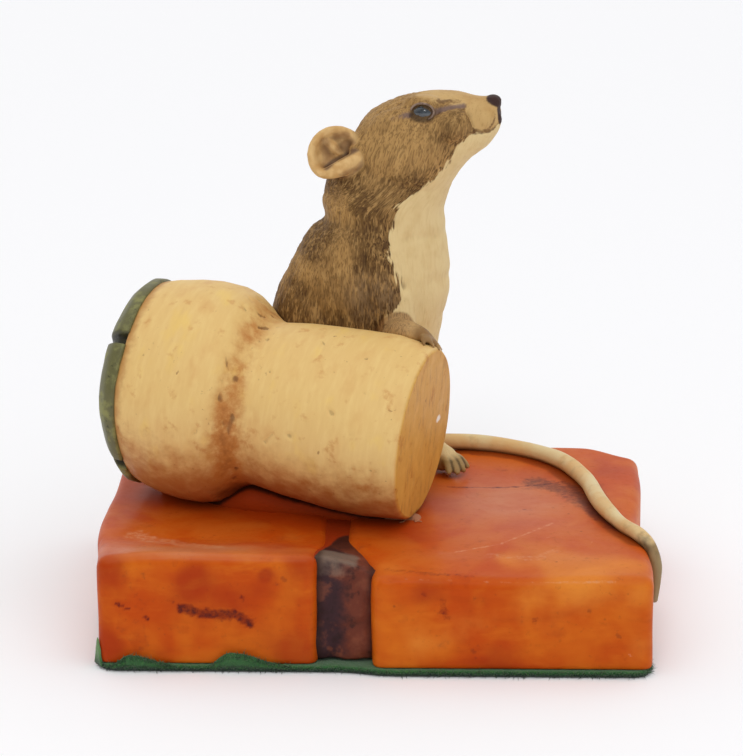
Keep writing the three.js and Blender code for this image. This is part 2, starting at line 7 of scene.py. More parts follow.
import bpy
import numpy as np
from bpy.props import FloatProperty, FloatVectorProperty, PointerProperty
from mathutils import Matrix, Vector


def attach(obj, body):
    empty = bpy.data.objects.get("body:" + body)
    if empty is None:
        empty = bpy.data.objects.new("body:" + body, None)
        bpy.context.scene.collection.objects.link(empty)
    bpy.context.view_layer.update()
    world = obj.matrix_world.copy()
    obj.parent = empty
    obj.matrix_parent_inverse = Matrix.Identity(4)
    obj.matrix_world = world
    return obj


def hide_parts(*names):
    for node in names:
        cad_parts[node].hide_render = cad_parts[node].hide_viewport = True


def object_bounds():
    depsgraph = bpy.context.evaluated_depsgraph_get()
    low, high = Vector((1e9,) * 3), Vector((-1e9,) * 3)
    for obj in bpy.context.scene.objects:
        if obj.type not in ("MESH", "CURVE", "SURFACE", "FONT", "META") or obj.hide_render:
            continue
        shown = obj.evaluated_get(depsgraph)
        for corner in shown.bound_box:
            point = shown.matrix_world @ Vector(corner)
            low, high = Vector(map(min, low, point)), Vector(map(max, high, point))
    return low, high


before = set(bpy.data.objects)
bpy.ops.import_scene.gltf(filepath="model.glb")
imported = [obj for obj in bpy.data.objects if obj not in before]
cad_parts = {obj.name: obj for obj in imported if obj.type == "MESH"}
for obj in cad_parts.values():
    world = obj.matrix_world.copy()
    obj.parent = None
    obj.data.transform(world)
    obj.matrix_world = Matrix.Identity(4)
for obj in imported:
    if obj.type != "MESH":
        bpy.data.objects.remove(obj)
CAD_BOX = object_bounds()

bl_info = {
    "name": "Mouse Figurine",
    "version": (1, 0, 0),
    "blender": (4, 5, 0),
    "location": "3D View > Sidebar > Mouse Figurine",
    "description": "Builds a painted mouse, its cork, bricks and felt",
    "category": "Add Mesh",
}

MM = 0.001

# Base: the bricks, the joint between them and the felt
GAP = 0.3
RIGHT = 42.0
FRONT = -30.0
BACK = 30.0
BRICK_BOTTOM = 1.3
BRICK_HEIGHT = 14.8
BRICK_TOP = BRICK_BOTTOM + BRICK_HEIGHT
BRICK_ROUNDING = 1.8
EDGE_CROWDING = 0.7
LEFT_FRONT = FRONT + 1.5
LEFT_LIP_RISE = 2.5
RIGHT_FRONT_FALL = 0.5
JOINT_X = -4.6
JOINT_WIDTH = 8.2
JOINT_NARROWING = 4.2
JOINT_RECESS = 1.7
CORNER_WEAR = 4.6
SIDE_WEAR = 1.5
LEFT_BULGE = 1.35
BACK_SWELL = 0.4
FELT_THICKNESS = 1.0
FELT_PROUD = 0.6
FIBRE_RADIUS = 0.07

# Marks on the glaze: scratches and spots, each with its course, width and strength
LEFT_SCARS = [
    ([(-29.2, -28.5, 10.1), (-26.5, -28.5, 9.2), (-21.2, -28.5, 9.1), (-19.3, -28.5, 7.8)], 1.15, 0.95),
    ([(-39.1, -28.5, 10.7), (-38.2, -28.5, 10.3)], 0.5, 0.9),
    ([(-37.6, -28.5, 10.0), (-37.2, -28.5, 9.9)], 0.35, 0.9),
    ([(-34.9, -28.5, 8.8), (-34.5, -28.5, 8.3)], 0.5, 0.9),
    ([(-20.3, -28.5, 12.0), (-19.9, -28.5, 11.6)], 0.4, 0.8),
]
RIGHT_SCARS = [
    ([(24.0, -30, 9.1), (24.2, -30, 8.8)], 0.6, 0.6),
    ([(10.1, -30, 11.9), (10.4, -30, 10.4), (11, -30, 9.7)], 0.9, 0.5),
    ([(7.2, -30, 13.2), (7.4, -30, 13.0)], 0.5, 0.5),
    ([(11.1, 10.1, 16.1), (20, 10.6, 16.1), (29.4, 12.9, 16.1)], 0.5, 0.7),
    ([(22.9, -0.3, 16.1), (23.1, 0.1, 16.1)], 0.45, 0.6),
    ([(2.0, -27, 16.1), (9.0, -28.2, 16.0), (14.5, -28.6, 16.0)], 0.9, 0.4),
]
# Pale chips, and painted highlights: the long stroke along the right brick's front arris and the wide
# strokes on the left lip and the right top
CHIPS_AND_HIGHLIGHTS = [
    ([(38.1, -30, 15.5), (39.0, -30, 15.4)], 0.5, 1),
    ([(38.4, -30, 3.6), (38.6, -30, 3.4)], 0.4, 0.7),
    ([(11.8, -19.6, 16.1), (18.9, -16.4, 16.1), (24, -10.6, 16.1), (27.1, -6.5, 16.1)], 0.6, 0.6),
    ([(-0.3, -29.6, 15.6), (20, -29.6, 15.2), (36, -29.6, 15.2)], 0.5, 0.55),
    ([(-37, -13, 16.7), (-31, -17, 17.1), (-25, -22, 17.8)], 4.0, 0.6),
    ([(17, -21, 16.1), (24, -22, 16.1), (27, -19, 16.1)], 2.0, 0.5),
]

# Soft patches of the glaze: place, radius, and how much paler, or redder when it is below 0. The paler ones
# on the tops' front edges are partly painted highlights, and the redder ones on the tops next to the cork
# are partly painted shade
TINTS = [
    (-18.4, -28.5, 17.3, 3, 0.4), (-14.8, -28.5, 8.6, 4, 0.3), (-26.1, -28.5, 4.7, 5, 0.3),
    (-32.9, -28.5, 12.9, 3.4, 0.3), (-24, -28.5, 11, 16, -0.45), (-24, -29, 16, 9, -0.3),
    (-40.2, -28.5, 16.2, 3.4, -1.0), (-40.2, -28.5, 4.1, 3, -0.7), (-11.1, -28, 19.5, 3, -0.9),
    (-16.6, -28.5, 15.5, 1.1, -1.2), (-27.8, -28.5, 14.5, 2.6, -0.6), (-12.2, -28.5, 2.5, 4, -0.7),
    (6.7, -30, 5.1, 3, 0.5), (29.9, -29, 16.5, 4, 0.6), (40.1, -30, 5.1, 3.4, 0.5),
    (23.9, -30, 13, 5, 0.4), (13.9, -30, 7.2, 5, 0.4), (6.7, -30, 12.4, 2.2, -0.6),
    (17.8, -30, 1.9, 4.6, -0.9), (8.7, -30, 16, 4, -0.6), (9.5, 0.5, 16.1, 5.5, -1.0),
    (4, -12, 16.1, 5, -0.7), (28.3, -23, 16.1, 4, 1.2), (24, -18, 16.1, 4, 0.5),
    (20, -23, 16.1, 3, 0.9), (-33, -24, 18.3, 5, 1.3), (-22, -25, 18.3, 5, 1.3),
    (-28, -14, 17, 6, -0.2), (-14, -20, 17, 5, -0.2), (36, -8, 16.1, 4, -0.4),
    (36, -25, 16.1, 4, 0.8), (31, -29.5, 15.5, 5, 0.8), (11, -27, 16.1, 3, 0.6),
    (2, -26, 16.1, 3, 0.6), (27, 16, 16.1, 4, -0.5), (37, 18, 16.1, 5, -0.6),
    (40.1, -30, 12.9, 3, 0.5), (-36, -28.5, 8, 3, 0.4),
]
TAIL_SMEAR = [(25, 13, 16.1), (30, 9.4, 16.1), (33.2, 2, 16.1), (38.4, -9, 16.1)]

# Felt: its edge as shares of the outline and of its thickness, and the laps up the front
FELT_PROFILE = [
    (0.02, 0.0), (0.5, 0.0), (0.9, 0.0), (0.99, 0.0), (0.998, 0.1), (1.0, 0.3), (1.0, 0.7),
    (0.998, 0.9), (0.99, 1.0), (0.95, 1.0), (0.9, 1.0), (0.5, 1.0), (0.02, 1.0),
]
FELT_INSET = 0.4
LAPS = [(-40.2, 10.3, 2.6, 0.3), (-25, 12.1, 3.1, 0.25)]
CURL = (-1.4, 2.2, 4.8, 0.35)
CURL_TURN = math.radians(-62)
EDGE_HAIRS = 4200
LAP_HAIRS = 700

# Cork: lengths along its axis start at the narrow end disc
CORK_LENGTH = 49.3
CORK_END_RADIUS = 13.6
CORK_HEAD_RADIUS = 17.4
CORK_HEAD_AT = 36.5
CORK_WAIST_AT = 26.5
CAP_START = 45.6
CAP_LEAN = 2.1
CORK_TURN = math.radians(17.5)
CORK_RISE = (CORK_HEAD_RADIUS - 0.5 - CORK_END_RADIUS) / CORK_HEAD_AT
CORK_END = np.array([7.1, -4.3, BRICK_TOP + CORK_END_RADIUS + GAP / 2])
CAP_NOTCHES = (311.7, 232.1, 140.0, 50.0)
CORK_OUTLINE = [
    (0, 13.1), (0.2, 13.45), (0.5, 13.6), (6.6, 14.3), (11.9, 14.2), (20.7, 13.6), (24.9, 13.05),
    (26.5, 12.9), (28.7, 15.24), (30.6, 16.59), (33, 17.31), (36.5, 17.4), (39.55, 17.16),
    (43.2, 16.52), (45.6, 15.8),
]
UNDER_CORK_SLANT = 0.33

# Cap: its rim from the cork's side outwards, then its shoulder, with depths below the cork's end
CAP_RIM = CORK_HEAD_RADIUS - 1.2
CAP_RIM_OUTLINE = [(-0.5, -0.1), (-0.1, 0.0), (0.0, 0.25), (-0.02, 0.6), (-0.05, 1.0), (-0.1, 1.5)]
CAP_SHOULDER = [(15.6, 1.6), (15.2, 1.2), (14.8, 0.85), (14.2, 0.5), (13.4, 0.25)]
CAP_NOTCH_DEPTH = 1.7

# Glue under the cork: distance along it and away from it, lift and radius
GLUE_RIDGE = [
    (1.0, 0.6, -0.5, 1.2), (8, 1.6, -0.3, 1.6), (16, 2.2, 0, 1.9), (22, 2.6, 0.6, 2.5),
    (27, 3.0, 1.2, 3.1), (31, 2.6, 0.4, 2.9), (36, 1.5, -0.4, 2.4), (42, 1.2, -0.2, 1.8),
]
GLUE_BEADS = 26

# Mouse: drawn in a frame of its own that stands on the bricks
MOUSE_AT = np.array([0.0, 17.5, BRICK_TOP])
HEAD_AT = np.array([4.0, 0.0, 53.3])
NECK = (44, 50)
HEAD_PITCH = math.radians(26)
HEAD_TURN = math.radians(14)
HEAD_ROLL = math.radians(-8)
TORSO_FRONT = [
    (3, 1.2, 6), (6.5, 3.2, 8), (8.2, 8, 9), (8.8, 15, 9.5), (9.2, 22, 9.3), (10.2, 27, 9),
    (11, 32, 8.8), (10.7, 37, 8.4), (10.2, 41.2, 8), (9.9, 43.6, 7.8), (10.4, 46, 7.8),
    (11.2, 48.5, 7.4), (11.8, 51, 6.6), (10, 54, 5),
]
TORSO_BACK = [
    (-10, 1.2), (-15, 3), (-17.8, 8), (-18.5, 15), (-18, 22), (-16.9, 27.5), (-15, 33.2),
    (-13, 37), (-11, 40.2), (-8.6, 42.3), (-8.9, 45.5), (-8, 49), (-5.4, 53), (-2, 56),
]
HEAD_BELOW = [
    (-7.2, -3, 3.5), (-6.5, -5.5, 5.8), (-3.5, -7.5, 7.4), (0, -8.2, 8), (4, -7.4, 7.7),
    (7, -5.8, 6.6), (10, -4.6, 5.2), (12.5, -4.1, 4), (14.3, -3.3, 3.2), (15.7, -2.2, 2.4),
    (16.7, -0.6, 1.5),
]
HEAD_ABOVE = [
    (-7.2, 3), (-6, 5.8), (-3.5, 7.6), (0, 8.3), (3.5, 8.2), (6.5, 7.6), (9.5, 6.6), (12.2, 5.2),
    (14.2, 3.8), (15.7, 3.1), (17, 2.4),
]
EYE_AT = (6.85, 4.95, 4.3)
EYE_TILT = math.radians(-22)
EYE_OUT = (0.12, 0.92, 0.25)
NOSE_FORMS = [((16.4, 0, 1.75), (1.35, 1.5, 1.35)), ((15.6, 0, -0.6), (1.15, 1.0, 1.4))]
NEAR_EAR = ((-8.35, -7.1, 3.3), (0.35, -0.85, 0.0))
FAR_EAR = ((-6.3, 7.2, 0.9), (0.1, 0.95, 0.1))
EAR_RADIUS = 4.65
EAR_OUTLINE = [
    (0.1, -2.2), (EAR_RADIUS * 0.3, -2.1), (EAR_RADIUS * 0.6, -1.7), (EAR_RADIUS * 0.8, -1.15),
    (EAR_RADIUS * 0.93, -0.4), (EAR_RADIUS, 0.3), (EAR_RADIUS * 0.99, 0.75), (EAR_RADIUS - 0.35, 1.05),
    (EAR_RADIUS - 0.8, 1.0), (EAR_RADIUS - 1.2, 0.65), (EAR_RADIUS - 1.5, 0.0),
    (EAR_RADIUS * 0.55, -0.6), (EAR_RADIUS * 0.25, -1.2), (0.1, -1.3),
]
EAR_LOBE = [(-3.0, -1.75, 0.1), (0.2, -1.8, 0.5), (2.6, -1.5, 0.0), (4.0, -1.1, -1.0)]
EAR_RIDGE = [(-0.6, 3.0, -0.5), (0.1, 1.6, -0.8), (0.6, 0.2, -0.8)]

# The cheeks' forms on either side of the head: centre, radii and tilt
CHEEK_FORMS = [
    ((13.6, 1.75, 0.3), (2.5, 1.7, 2.35), 0),
    ((9.6, 4.1, 0.8), (3.4, 2.2, 2.6), 0),
    (EYE_AT, (2.25, 1.15, 1.75), EYE_TILT),
    ((6.9, 3.5, 6.0), (3.2, 1.9, 1.2), EYE_TILT),
    ((1.5, 5.0, 4.6), (4.2, 2.2, 2.4), 0),
]

# Painted lines of the face, in the head's own frame, and of the ear, seen into its opening
STRIPE_BEFORE = [(8.2, -5.3, 3.8), (9.4, -4.7, 3.6), (12.6, -3.2, 3.0)]
STRIPE_BEHIND = [(-0.3, -5.8, 5.6), (2.1, -6.5, 5.2), (4.9, -6.2, 4.9)]
# The line over the eye is painted shade under the brow ridge
OVER_EYE = [(4.6, -3.6, 6.9), (6.9, -3.9, 6.5), (8.8, -4.2, 5.4), (12.4, -3.1, 4.1)]
BELOW_EYE = [(4.2, -6.0, 3.9), (5.9, -6.3, 2.9), (7.9, -5.9, 2.6), (9.4, -5.1, 3.2)]
LIP = [(16.2, -1.0, -1.9), (14.8, -1.9, -2.2), (13.2, -3.1, -1.7), (12.0, -3.9, -0.9)]
# The ear's band, stroke and lobe foot set the inner wash, which is partly painted shade in the cup
EAR_BAND = [(-0.9, 2.8, 0), (-1.9, -0.6, 0)]
EAR_STROKE = [(1.0, 3.0, 0), (2.6, 2.4, 0)]
LOBE_LINE = [(-2.3, -1.0, 0), (-0.9, -0.45, 0), (2.9, -0.2, 0), (4.2, 0, 0)]
LOBE_FOOT = [(-0.5, -3.1, 0), (2.2, -2.9, 0), (4.2, -2.0, 0)]

# Right arm and its paw, as places on the cork: along it, turned from its top, and lifted
FOREARM = [(9.5, 50, 2.2), (7.5, 33, 1.7), (3.6, 24, 1.2)]
KNUCKLES = (2.6, 23, 0.9)
FINGERTIPS = [(1.8, 7, 0.3), (0.4, 10, 0.2), (-0.1, 18, -0.3), (0.1, 26, -0.2)]

# Feet: heel, middle toe and the toes' spread
FEET = [((1, -5.2, 1.2), (8, -6, 0.9), 1.6), ((8.2, 2.2, 3.2), (13.0, -2.6, 0.8), 2.1)]

# The way the fur lies on the body and on the head
BODY_LIE = np.array([0.0, 0.0, -1.0])
HEAD_LIE = np.array([-0.26, 0.0, -0.97])

# Where the cream underside begins on the throat and chest: x for heights in the mouse's frame
CREAM_EDGE = [
    (22.0, 1.0), (28.5, 1.2), (31.4, 3.5), (35.8, 2.6), (38.3, 1.3), (40.8, 1.2), (43.1, 2.1),
    (46.5, 3.0), (48.6, 5.8), (51.2, 9.2), (55.8, 11.9), (57.5, 13.6), (58.3, 15.4), (59.5, 22.0),
]

# Dark and light places of the coat, seen from the side: x, height, radius and how dark or light. Some of
# the dark ones, such as those where the neck meets the back, are painted shade
TONES = [
    (-2.3, 46.5, 2.4, -0.8), (-1.2, 43.3, 2.2, -0.9), (-1.5, 40.2, 1.9, -0.8), (-0.2, 37.5, 1.8, -0.9),
    (-3.2, 36.6, 1.4, -0.7), (-14.2, 27.3, 2.4, -1.0), (-9.4, 27.2, 1.9, -0.9), (-5.2, 27.3, 2.2, -1.0),
    (-0.7, 27.0, 1.8, -0.8), (-8.8, 40.8, 1.6, -0.7), (-11, 38.1, 1.8, -0.6), (-12.8, 32.3, 1.6, -0.6),
    (-5.0, 52.6, 1.3, -0.9), (-4.8, 49.9, 1.7, -0.9), (-8.6, 48.6, 1.6, -0.8), (9.8, 57.2, 1.2, -0.5),
    (4.6, 50.6, 2.0, -0.6), (-7, 45, 2.4, 0.5), (-6.2, 38.4, 2.2, 0.4), (-11, 34.6, 2.4, 0.5),
    (6.3, 56, 3.8, 0.7), (2.4, 56.5, 3.2, 0.6), (-2.3, 54.9, 2.2, 0.5), (3, 49, 1.5, 0.2),
    (-14, 22, 5, 0.35), (-6, 33, 3, 0.3), (-10, 14, 5, 0.3), (2, 57, 4, 0.3), (-3, 45, 2, -0.4),
]

# The tail from the rump round the bricks' back, across the right brick and down its side
TAIL_COURSE = [
    (38, 1.3, 1.4), (27.4, 1.4, 1.3), (19.2, 4.6, 1.25), (13.3, 10.2, 1.35), (9.2, 19.6, 1.35),
    (7, 31, 1.35), (4.2, 39, 1.1), (1.5, 44.5, 1.1),
]
TAIL_END = [(46.4, 0.1, 1, 0.8), (47.8, 2.6, 0.95, 0), (48.4, 5.2, 0.85, 0), (48.8, 7.8, 0.65, 0.1)]

TAIL_BEND = (41.0, -16.5, 15.4)

# Stage: places in metres
FLOOR_HALF = 3.0
SUN_AT = (0.1, -0.62, 1.0)
SUN_SPREAD = math.radians(95)
WINDOW_AT = (-0.05, -0.5, 0.6)
WINDOW_SIZE = 0.16
LAMP_TARGET = (0, 0, 0.04)

# Camera: turn and height about the target, in degrees and millimetres
CAMERA_AZIMUTH = 1.0
CAMERA_ELEVATION = 18.0
CAMERA_DISTANCE = 622.26
CAMERA_TARGET = (-1.081, 0.0, 37.553)
CAMERA_LENS = 190.476
FILM_WIDTH = 36
NEAREST_SEEN = 0.01


def colour(code):
    """Turns a web colour into linear red, green and blue."""
    parts = [int(code[i:i + 2], 16) / 255 for i in (1, 3, 5)]
    return tuple(c / 12.92 if c <= 0.04045 else ((c + 0.055) / 1.055) ** 2.4 for c in parts)


def shade(name, description, code):
    return FloatVectorProperty(
        name=name, description=description, default=colour(code), size=3, min=0, max=1, subtype="COLOR"
    )


def length(name, description, millimetres):
    return FloatProperty(
        name=name, description=description, default=millimetres * MM, min=0, unit="LENGTH", precision=5
    )


def strength(name, description, default):
    return FloatProperty(name=name, description=description, default=default, min=0)


class MouseSettings(bpy.types.PropertyGroup):
    fur_dark: shade("Dark fur", "Paint in the fur's hollows", "#4d3319")
    fur_light: shade("Light fur", "Paint on the fur's ridges", "#bc935a")
    fur: shade("Fur", "Middle brown of the coat", "#93703f")
    grey: shade("Sleeve", "Greyer brown of the upper arm", "#7c6750")
    cream: shade("Cream", "Throat, chest and belly", "#e2c994")
    tan: shade("Tan", "Muzzle, brow and forehead", "#c9a56c")
    skin: shade("Bare skin", "Ears, feet and paws", "#dab47a")
    # The brown inside the ears is partly paint and partly painted shade in the cup
    fold: shade("Ear folds", "Brown wash inside the ears", "#8a6547")
    stripe: shade("Eye stripes", "Grey stripes at the corners of the eyes", "#755f5b")
    nose: shade("Nose", "Wet nose", "#402c28")
    iris: shade("Eye", "Slate eyes", "#22272d")
    tail: shade("Tail", "Bare tail", "#dcc592")
    tuft_size: length("Tuft size", "Width of the fur's modelled tufts", 1.1)
    tuft_depth: length("Tuft depth", "Depth of the fur's modelled tufts", 0.13)
    skin_cell: length("Skin cell", "Size of the skin's faces", 0.3)


class CorkSettings(bpy.types.PropertyGroup):
    body: shade("Cork", "Light ground of the cork", "#e2bc78")
    # The browner underside is partly a wash and partly painted shade
    low: shade("Cork shade", "Browner wash round the underside", "#aa672e")
    disc: shade("End disc", "Cut end of the cork", "#d49e44")
    # The waist's wash is strongest on the underside, where it is partly painted shade
    groove: shade("Groove", "Wash in the waist", "#b46c2c")
    cap: shade("Cap", "Painted cap on the cork's head", "#63603a")
    cap_patch: shade("Cap patches", "Worn patches of the cap", "#87854e")
    pit: shade("Pits", "Pits and cracks", "#5b351d")
    glue: shade("Glue", "Glue where the cork meets the bricks", "#a03a0e")


class BrickSettings(bpy.types.PropertyGroup):
    face: shade("Brick", "Glazed brick", "#bf4806")
    patch: shade("Brick patches", "Paler clouds in the glaze", "#cf6512")
    # The tops' paler pink is partly wear and partly painted sheen
    top: shade("Worn top", "Pink worn tops", "#c05a20")
    dirt: shade("Dirt", "Dark washes and scratches", "#3a2226")
    mortar: shade("Mortar", "Red-brown filling of the joint", "#6c3424")
    # The grey at the top front of the joint's left half is a painted highlight on its bevel
    mortar_grey: shade("Mortar dust", "Grey patches of the joint", "#7d6c5e")
    chip_depth: length("Chip depth", "Depth of the chips and pits", 0.3)


class FeltSettings(bpy.types.PropertyGroup):
    felt: shade("Felt", "Felt's green", "#2e6432")
    felt_dark: shade("Felt shade", "Felt's darker underside", "#122c22")
    fibre: length("Fibre", "Length of the stray fibres", 0.75)


class StageSettings(bpy.types.PropertyGroup):
    floor: shade("Floor", "Studio floor and backdrop", "#fbfbfd")
    sun: strength("Main light", "Strength of the broad main light", 1.45)
    window: strength("Window", "Power of the small light that shines in the eye", 0.5)
    bright: strength("Bright side", "Studio's brightness behind the object", 0.85)
    dim: strength("Dim side", "Studio's brightness behind the camera", 0.22)


def smooth(value, low, high):
    """Rises smoothly from 0 to 1 between two values."""
    share = np.clip((value - low) / (high - low), 0, 1)
    return share * share * (3 - 2 * share)


def fade(value, low, high):
    """Falls smoothly from 1 to 0 between two values."""
    return 1 - smooth(value, low, high)


def bump(value, middle, width):
    return np.exp(-(((value - middle) / width) ** 2))


def mixed(a, b, share):
    return a + (b - a) * share


def noise(points, size, seed=0):
    """Soft random values from -1 to 1, in lumps of a size."""
    at = np.asarray(points, float) @ NOISE_TILT / size + seed * 17.31
    cell = np.floor(at).astype(np.int64)
    part = at - cell
    part = part * part * (3 - 2 * part)
    total = np.zeros(len(at))
    for corner in itertools.product((0, 1), repeat=3):
        near = cell + np.array(corner)
        key = near[:, 0] * 73856093 ^ near[:, 1] * 19349663 ^ near[:, 2] * 83492791
        key = ((key ^ (key >> 13)) * 1274126177) & 0x7FFFFFFF
        value = ((key >> 7) % 65536) / 32768 - 1
        total += np.prod(np.where(np.array(corner), part, 1 - part), axis=1) * value
    return total


def spline(points, shares):
    """Places on a smooth curve through points, for shares of the way along."""
    points = np.asarray(points, float)
    spans = len(points) - 1
    padded = np.vstack([2 * points[0] - points[1], points, 2 * points[-1] - points[-2]])
    at = np.asarray(shares) * spans
    first = np.minimum(at.astype(int), spans - 1)
    t = (at - first)[:, None]
    p0, p1, p2, p3 = (padded[first + k] for k in range(4))
    pairs = ((p0, p1), (p1, p2), (p2, p3))
    r0, r1, r2 = (np.maximum(np.linalg.norm(b - a, axis=1), 1e-6)[:, None] ** 0.5 for a, b in pairs)
    out = ((p1 - p0) / r0 - (p2 - p0) / (r0 + r1) + (p2 - p1) / r1) * r1
    into = ((p2 - p1) / r1 - (p3 - p1) / (r1 + r2) + (p3 - p2) / r2) * r1
    return p1 + out * t + (3 * p2 - 3 * p1 - 2 * out - into) * t**2 + (2 * p1 - 2 * p2 + out + into) * t**3


def skinned(rings):
    """Points and faces of rings of equally many points, closed at both ends with a fan."""
    rings = np.asarray(rings, float)
    count, sides = rings.shape[:2]
    ring, side = np.meshgrid(np.arange(count - 1), np.arange(sides), indexing="ij")
    low = ring * sides
    after = (side + 1) % sides
    quads = np.stack([low + side, low + after, low + sides + after, low + sides + side], -1).reshape(-1, 4)
    first = count * sides
    top = (count - 1) * sides
    fans = []
    for a in range(sides):
        b = (a + 1) % sides
        fans += [[first, b, a], [first + 1, top + a, top + b]]
    points = np.vstack([rings.reshape(-1, 3), rings[0].mean(0), rings[-1].mean(0)])
    return points, quads.tolist() + fans


def limb(points, radii, steps=40, sides=24):
    """A rounded limb along a smooth curve, with the radius at each of its points."""
    shares = np.linspace(0, 1, steps + 1)
    centres = spline(points, shares)
    thickness = np.interp(shares * (len(radii) - 1), np.arange(len(radii)), radii)
    ahead = np.gradient(centres, axis=0)
    ahead /= np.linalg.norm(ahead, axis=1)[:, None]
    across = np.cross(ahead[0], [0.0, 0.0, 1.0])
    if np.linalg.norm(across) < 0.1:
        across = np.array([0.0, 1.0, 0.0])
    rings = []
    angles = np.linspace(0, 2 * math.pi, sides, endpoint=False)
    for centre, forward, radius in zip(centres, ahead, thickness):
        across = across - forward * (across @ forward)
        across /= np.linalg.norm(across)
        up = np.cross(forward, across)
        rings.append(centre + radius * (np.outer(np.cos(angles), across) + np.outer(np.sin(angles), up)))
    caps = [0.95, 0.75, 0.4]
    tip = [centres[-1] + (rings[-1] - centres[-1]) * r + ahead[-1] * thickness[-1] * h * 0.8
           for r, h in zip(caps, (0.4, 0.75, 0.95))]
    butt = [centres[0] + (rings[0] - centres[0]) * r - ahead[0] * thickness[0] * h * 0.8
            for r, h in zip(reversed(caps), (0.95, 0.75, 0.4))]
    return skinned(butt + rings + tip)


def egg(centre, radii, turn=None, columns=40, rows=24):
    """A closed oval form."""
    polar = np.linspace(0.06, math.pi - 0.06, rows)
    around = np.linspace(0, 2 * math.pi, columns, endpoint=False)
    rings = np.stack([
        np.outer(np.sin(polar), np.cos(around)),
        np.outer(np.sin(polar), np.sin(around)),
        -np.outer(np.cos(polar), np.ones(columns)),
    ], -1) * np.asarray(radii)
    if turn is not None:
        rings = rings @ turn.T
    return skinned(rings + np.asarray(centre, float))


def lathe(outline, sides):
    """Turns an outline of radius and height round the Z axis."""
    around = np.linspace(0, 2 * math.pi, sides, endpoint=False)
    wheel = np.stack([np.sin(around), np.cos(around), np.zeros(sides)], 1)
    return skinned([wheel * radius + [0, 0, height] for radius, height in outline])


def flipped(faces, turn):
    """The faces, turned inside out where that is asked for."""
    return [face[::-1] for face in faces] if turn else faces


def turned(points, matrix, origin):
    return points @ matrix.T + origin


def spin(x, y, z):
    """Rotation by angles about X, then Y, then Z."""
    cx, sx, cy, sy, cz, sz = math.cos(x), math.sin(x), math.cos(y), math.sin(y), math.cos(z), math.sin(z)
    about_x = np.array([[1, 0, 0], [0, cx, -sx], [0, sx, cx]])
    about_y = np.array([[cy, 0, sy], [0, 1, 0], [-sy, 0, cy]])
    about_z = np.array([[cz, -sz, 0], [sz, cz, 0], [0, 0, 1]])
    return about_z @ about_y @ about_x


HEAD_SPIN = spin(HEAD_ROLL, -HEAD_PITCH, -HEAD_TURN)
NOISE_TILT = spin(0.6, 0.45, 0.8)


class Skin:
    """A closed surface in millimetres, with numbers kept at each of its points."""

    def __init__(self, forms, cell=None):
        if cell is None:
            self.points, self.faces = self.gathered(forms)
        else:
            self.points, self.faces = self.fused(forms, cell)
        self.marks = {}

    def gathered(self, forms):
        points, faces, start = [], [], 0
        for form_points, form_faces in forms:
            points.append(np.asarray(form_points, float))
            faces += [[corner + start for corner in face] for face in form_faces]
            start += len(form_points)
        return np.vstack(points), faces

    def fused(self, forms, cell):
        """Melts overlapping closed forms into one skin of small even faces."""
        points, faces = self.gathered(forms)
        mesh = bpy.data.meshes.new("blank")
        mesh.from_pydata(points.tolist(), [], faces)
        blank = bpy.data.objects.new("blank", mesh)
        bpy.context.collection.objects.link(blank)
        melt = blank.modifiers.new("melt", "REMESH")
        melt.mode = "VOXEL"
        melt.voxel_size = cell
        solid = blank.evaluated_get(bpy.context.evaluated_depsgraph_get()).to_mesh()
        out = np.empty(len(solid.vertices) * 3)
        solid.vertices.foreach_get("co", out)
        sides = [list(face.vertices) for face in solid.polygons]
        bpy.data.objects.remove(blank)
        bpy.data.meshes.remove(mesh)
        return out.reshape(-1, 3), sides

    def mesh(self, name):
        mesh = bpy.data.meshes.new(name)
        mesh.from_pydata(self.points.tolist(), [], self.faces)
        return mesh

    def edges(self):
        mesh = self.mesh("edges")
        out = np.empty(len(mesh.edges) * 2, np.int32)
        mesh.edges.foreach_get("vertices", out)
        bpy.data.meshes.remove(mesh)
        return out.reshape(-1, 2)

    def normals(self):
        mesh = self.mesh("normals")
        out = np.empty(len(mesh.vertices) * 3)
        mesh.vertices.foreach_get("normal", out)
        bpy.data.meshes.remove(mesh)
        return out.reshape(-1, 3)

    def spread(self, values, edges, rounds, strength=0.5):
        """Evens out values over neighbouring points."""
        a, b = edges.T
        count = len(self.points)
        degree = np.maximum(np.bincount(edges.ravel(), minlength=count), 1)
        values = np.array(values, float).reshape(count, -1)
        for _ in range(rounds):
            for column in values.T:
                total = np.bincount(a, column[b], count) + np.bincount(b, column[a], count)
                column += strength * (total / degree - column)
        return values

    def relax(self, rounds, strength=0.5):
        self.points = self.spread(self.points, self.edges(), rounds, strength)

    def push(self, distance):
        self.points = self.points + self.normals() * np.asarray(distance)[:, None]

    def mark_hollows(self, rounds):
        """Marks hollows above 0 and ridges below 0, in millimetres."""
        evened = self.spread(self.points, self.edges(), rounds)
        self.marks["hollow"] = ((evened - self.points) * self.normals()).sum(1)

    def piece(self, name, node, slot, material, cloth=False):
        """Makes the skin a piece of the object that stands for a node."""
        mesh = self.mesh(name)
        places = self.points * MM
        if not cloth:
            places = np.clip(places, CAD_BOX[0], CAD_BOX[1])
        mesh.vertices.foreach_set("co", places.ravel())
        mesh.shade_smooth()
        for mark, values in self.marks.items():
            kind, field = ("FLOAT", "value") if values.ndim == 1 else ("FLOAT_VECTOR", "vector")
            mesh.attributes.new(mark, kind, "POINT").data.foreach_set(field, values.astype(float).ravel())
        mesh.materials.append(material)
        mesh.update()
        piece = bpy.data.objects.new(name, mesh)
        bpy.context.collection.objects.link(piece)
        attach(piece, "root")
        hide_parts(node)
        return piece


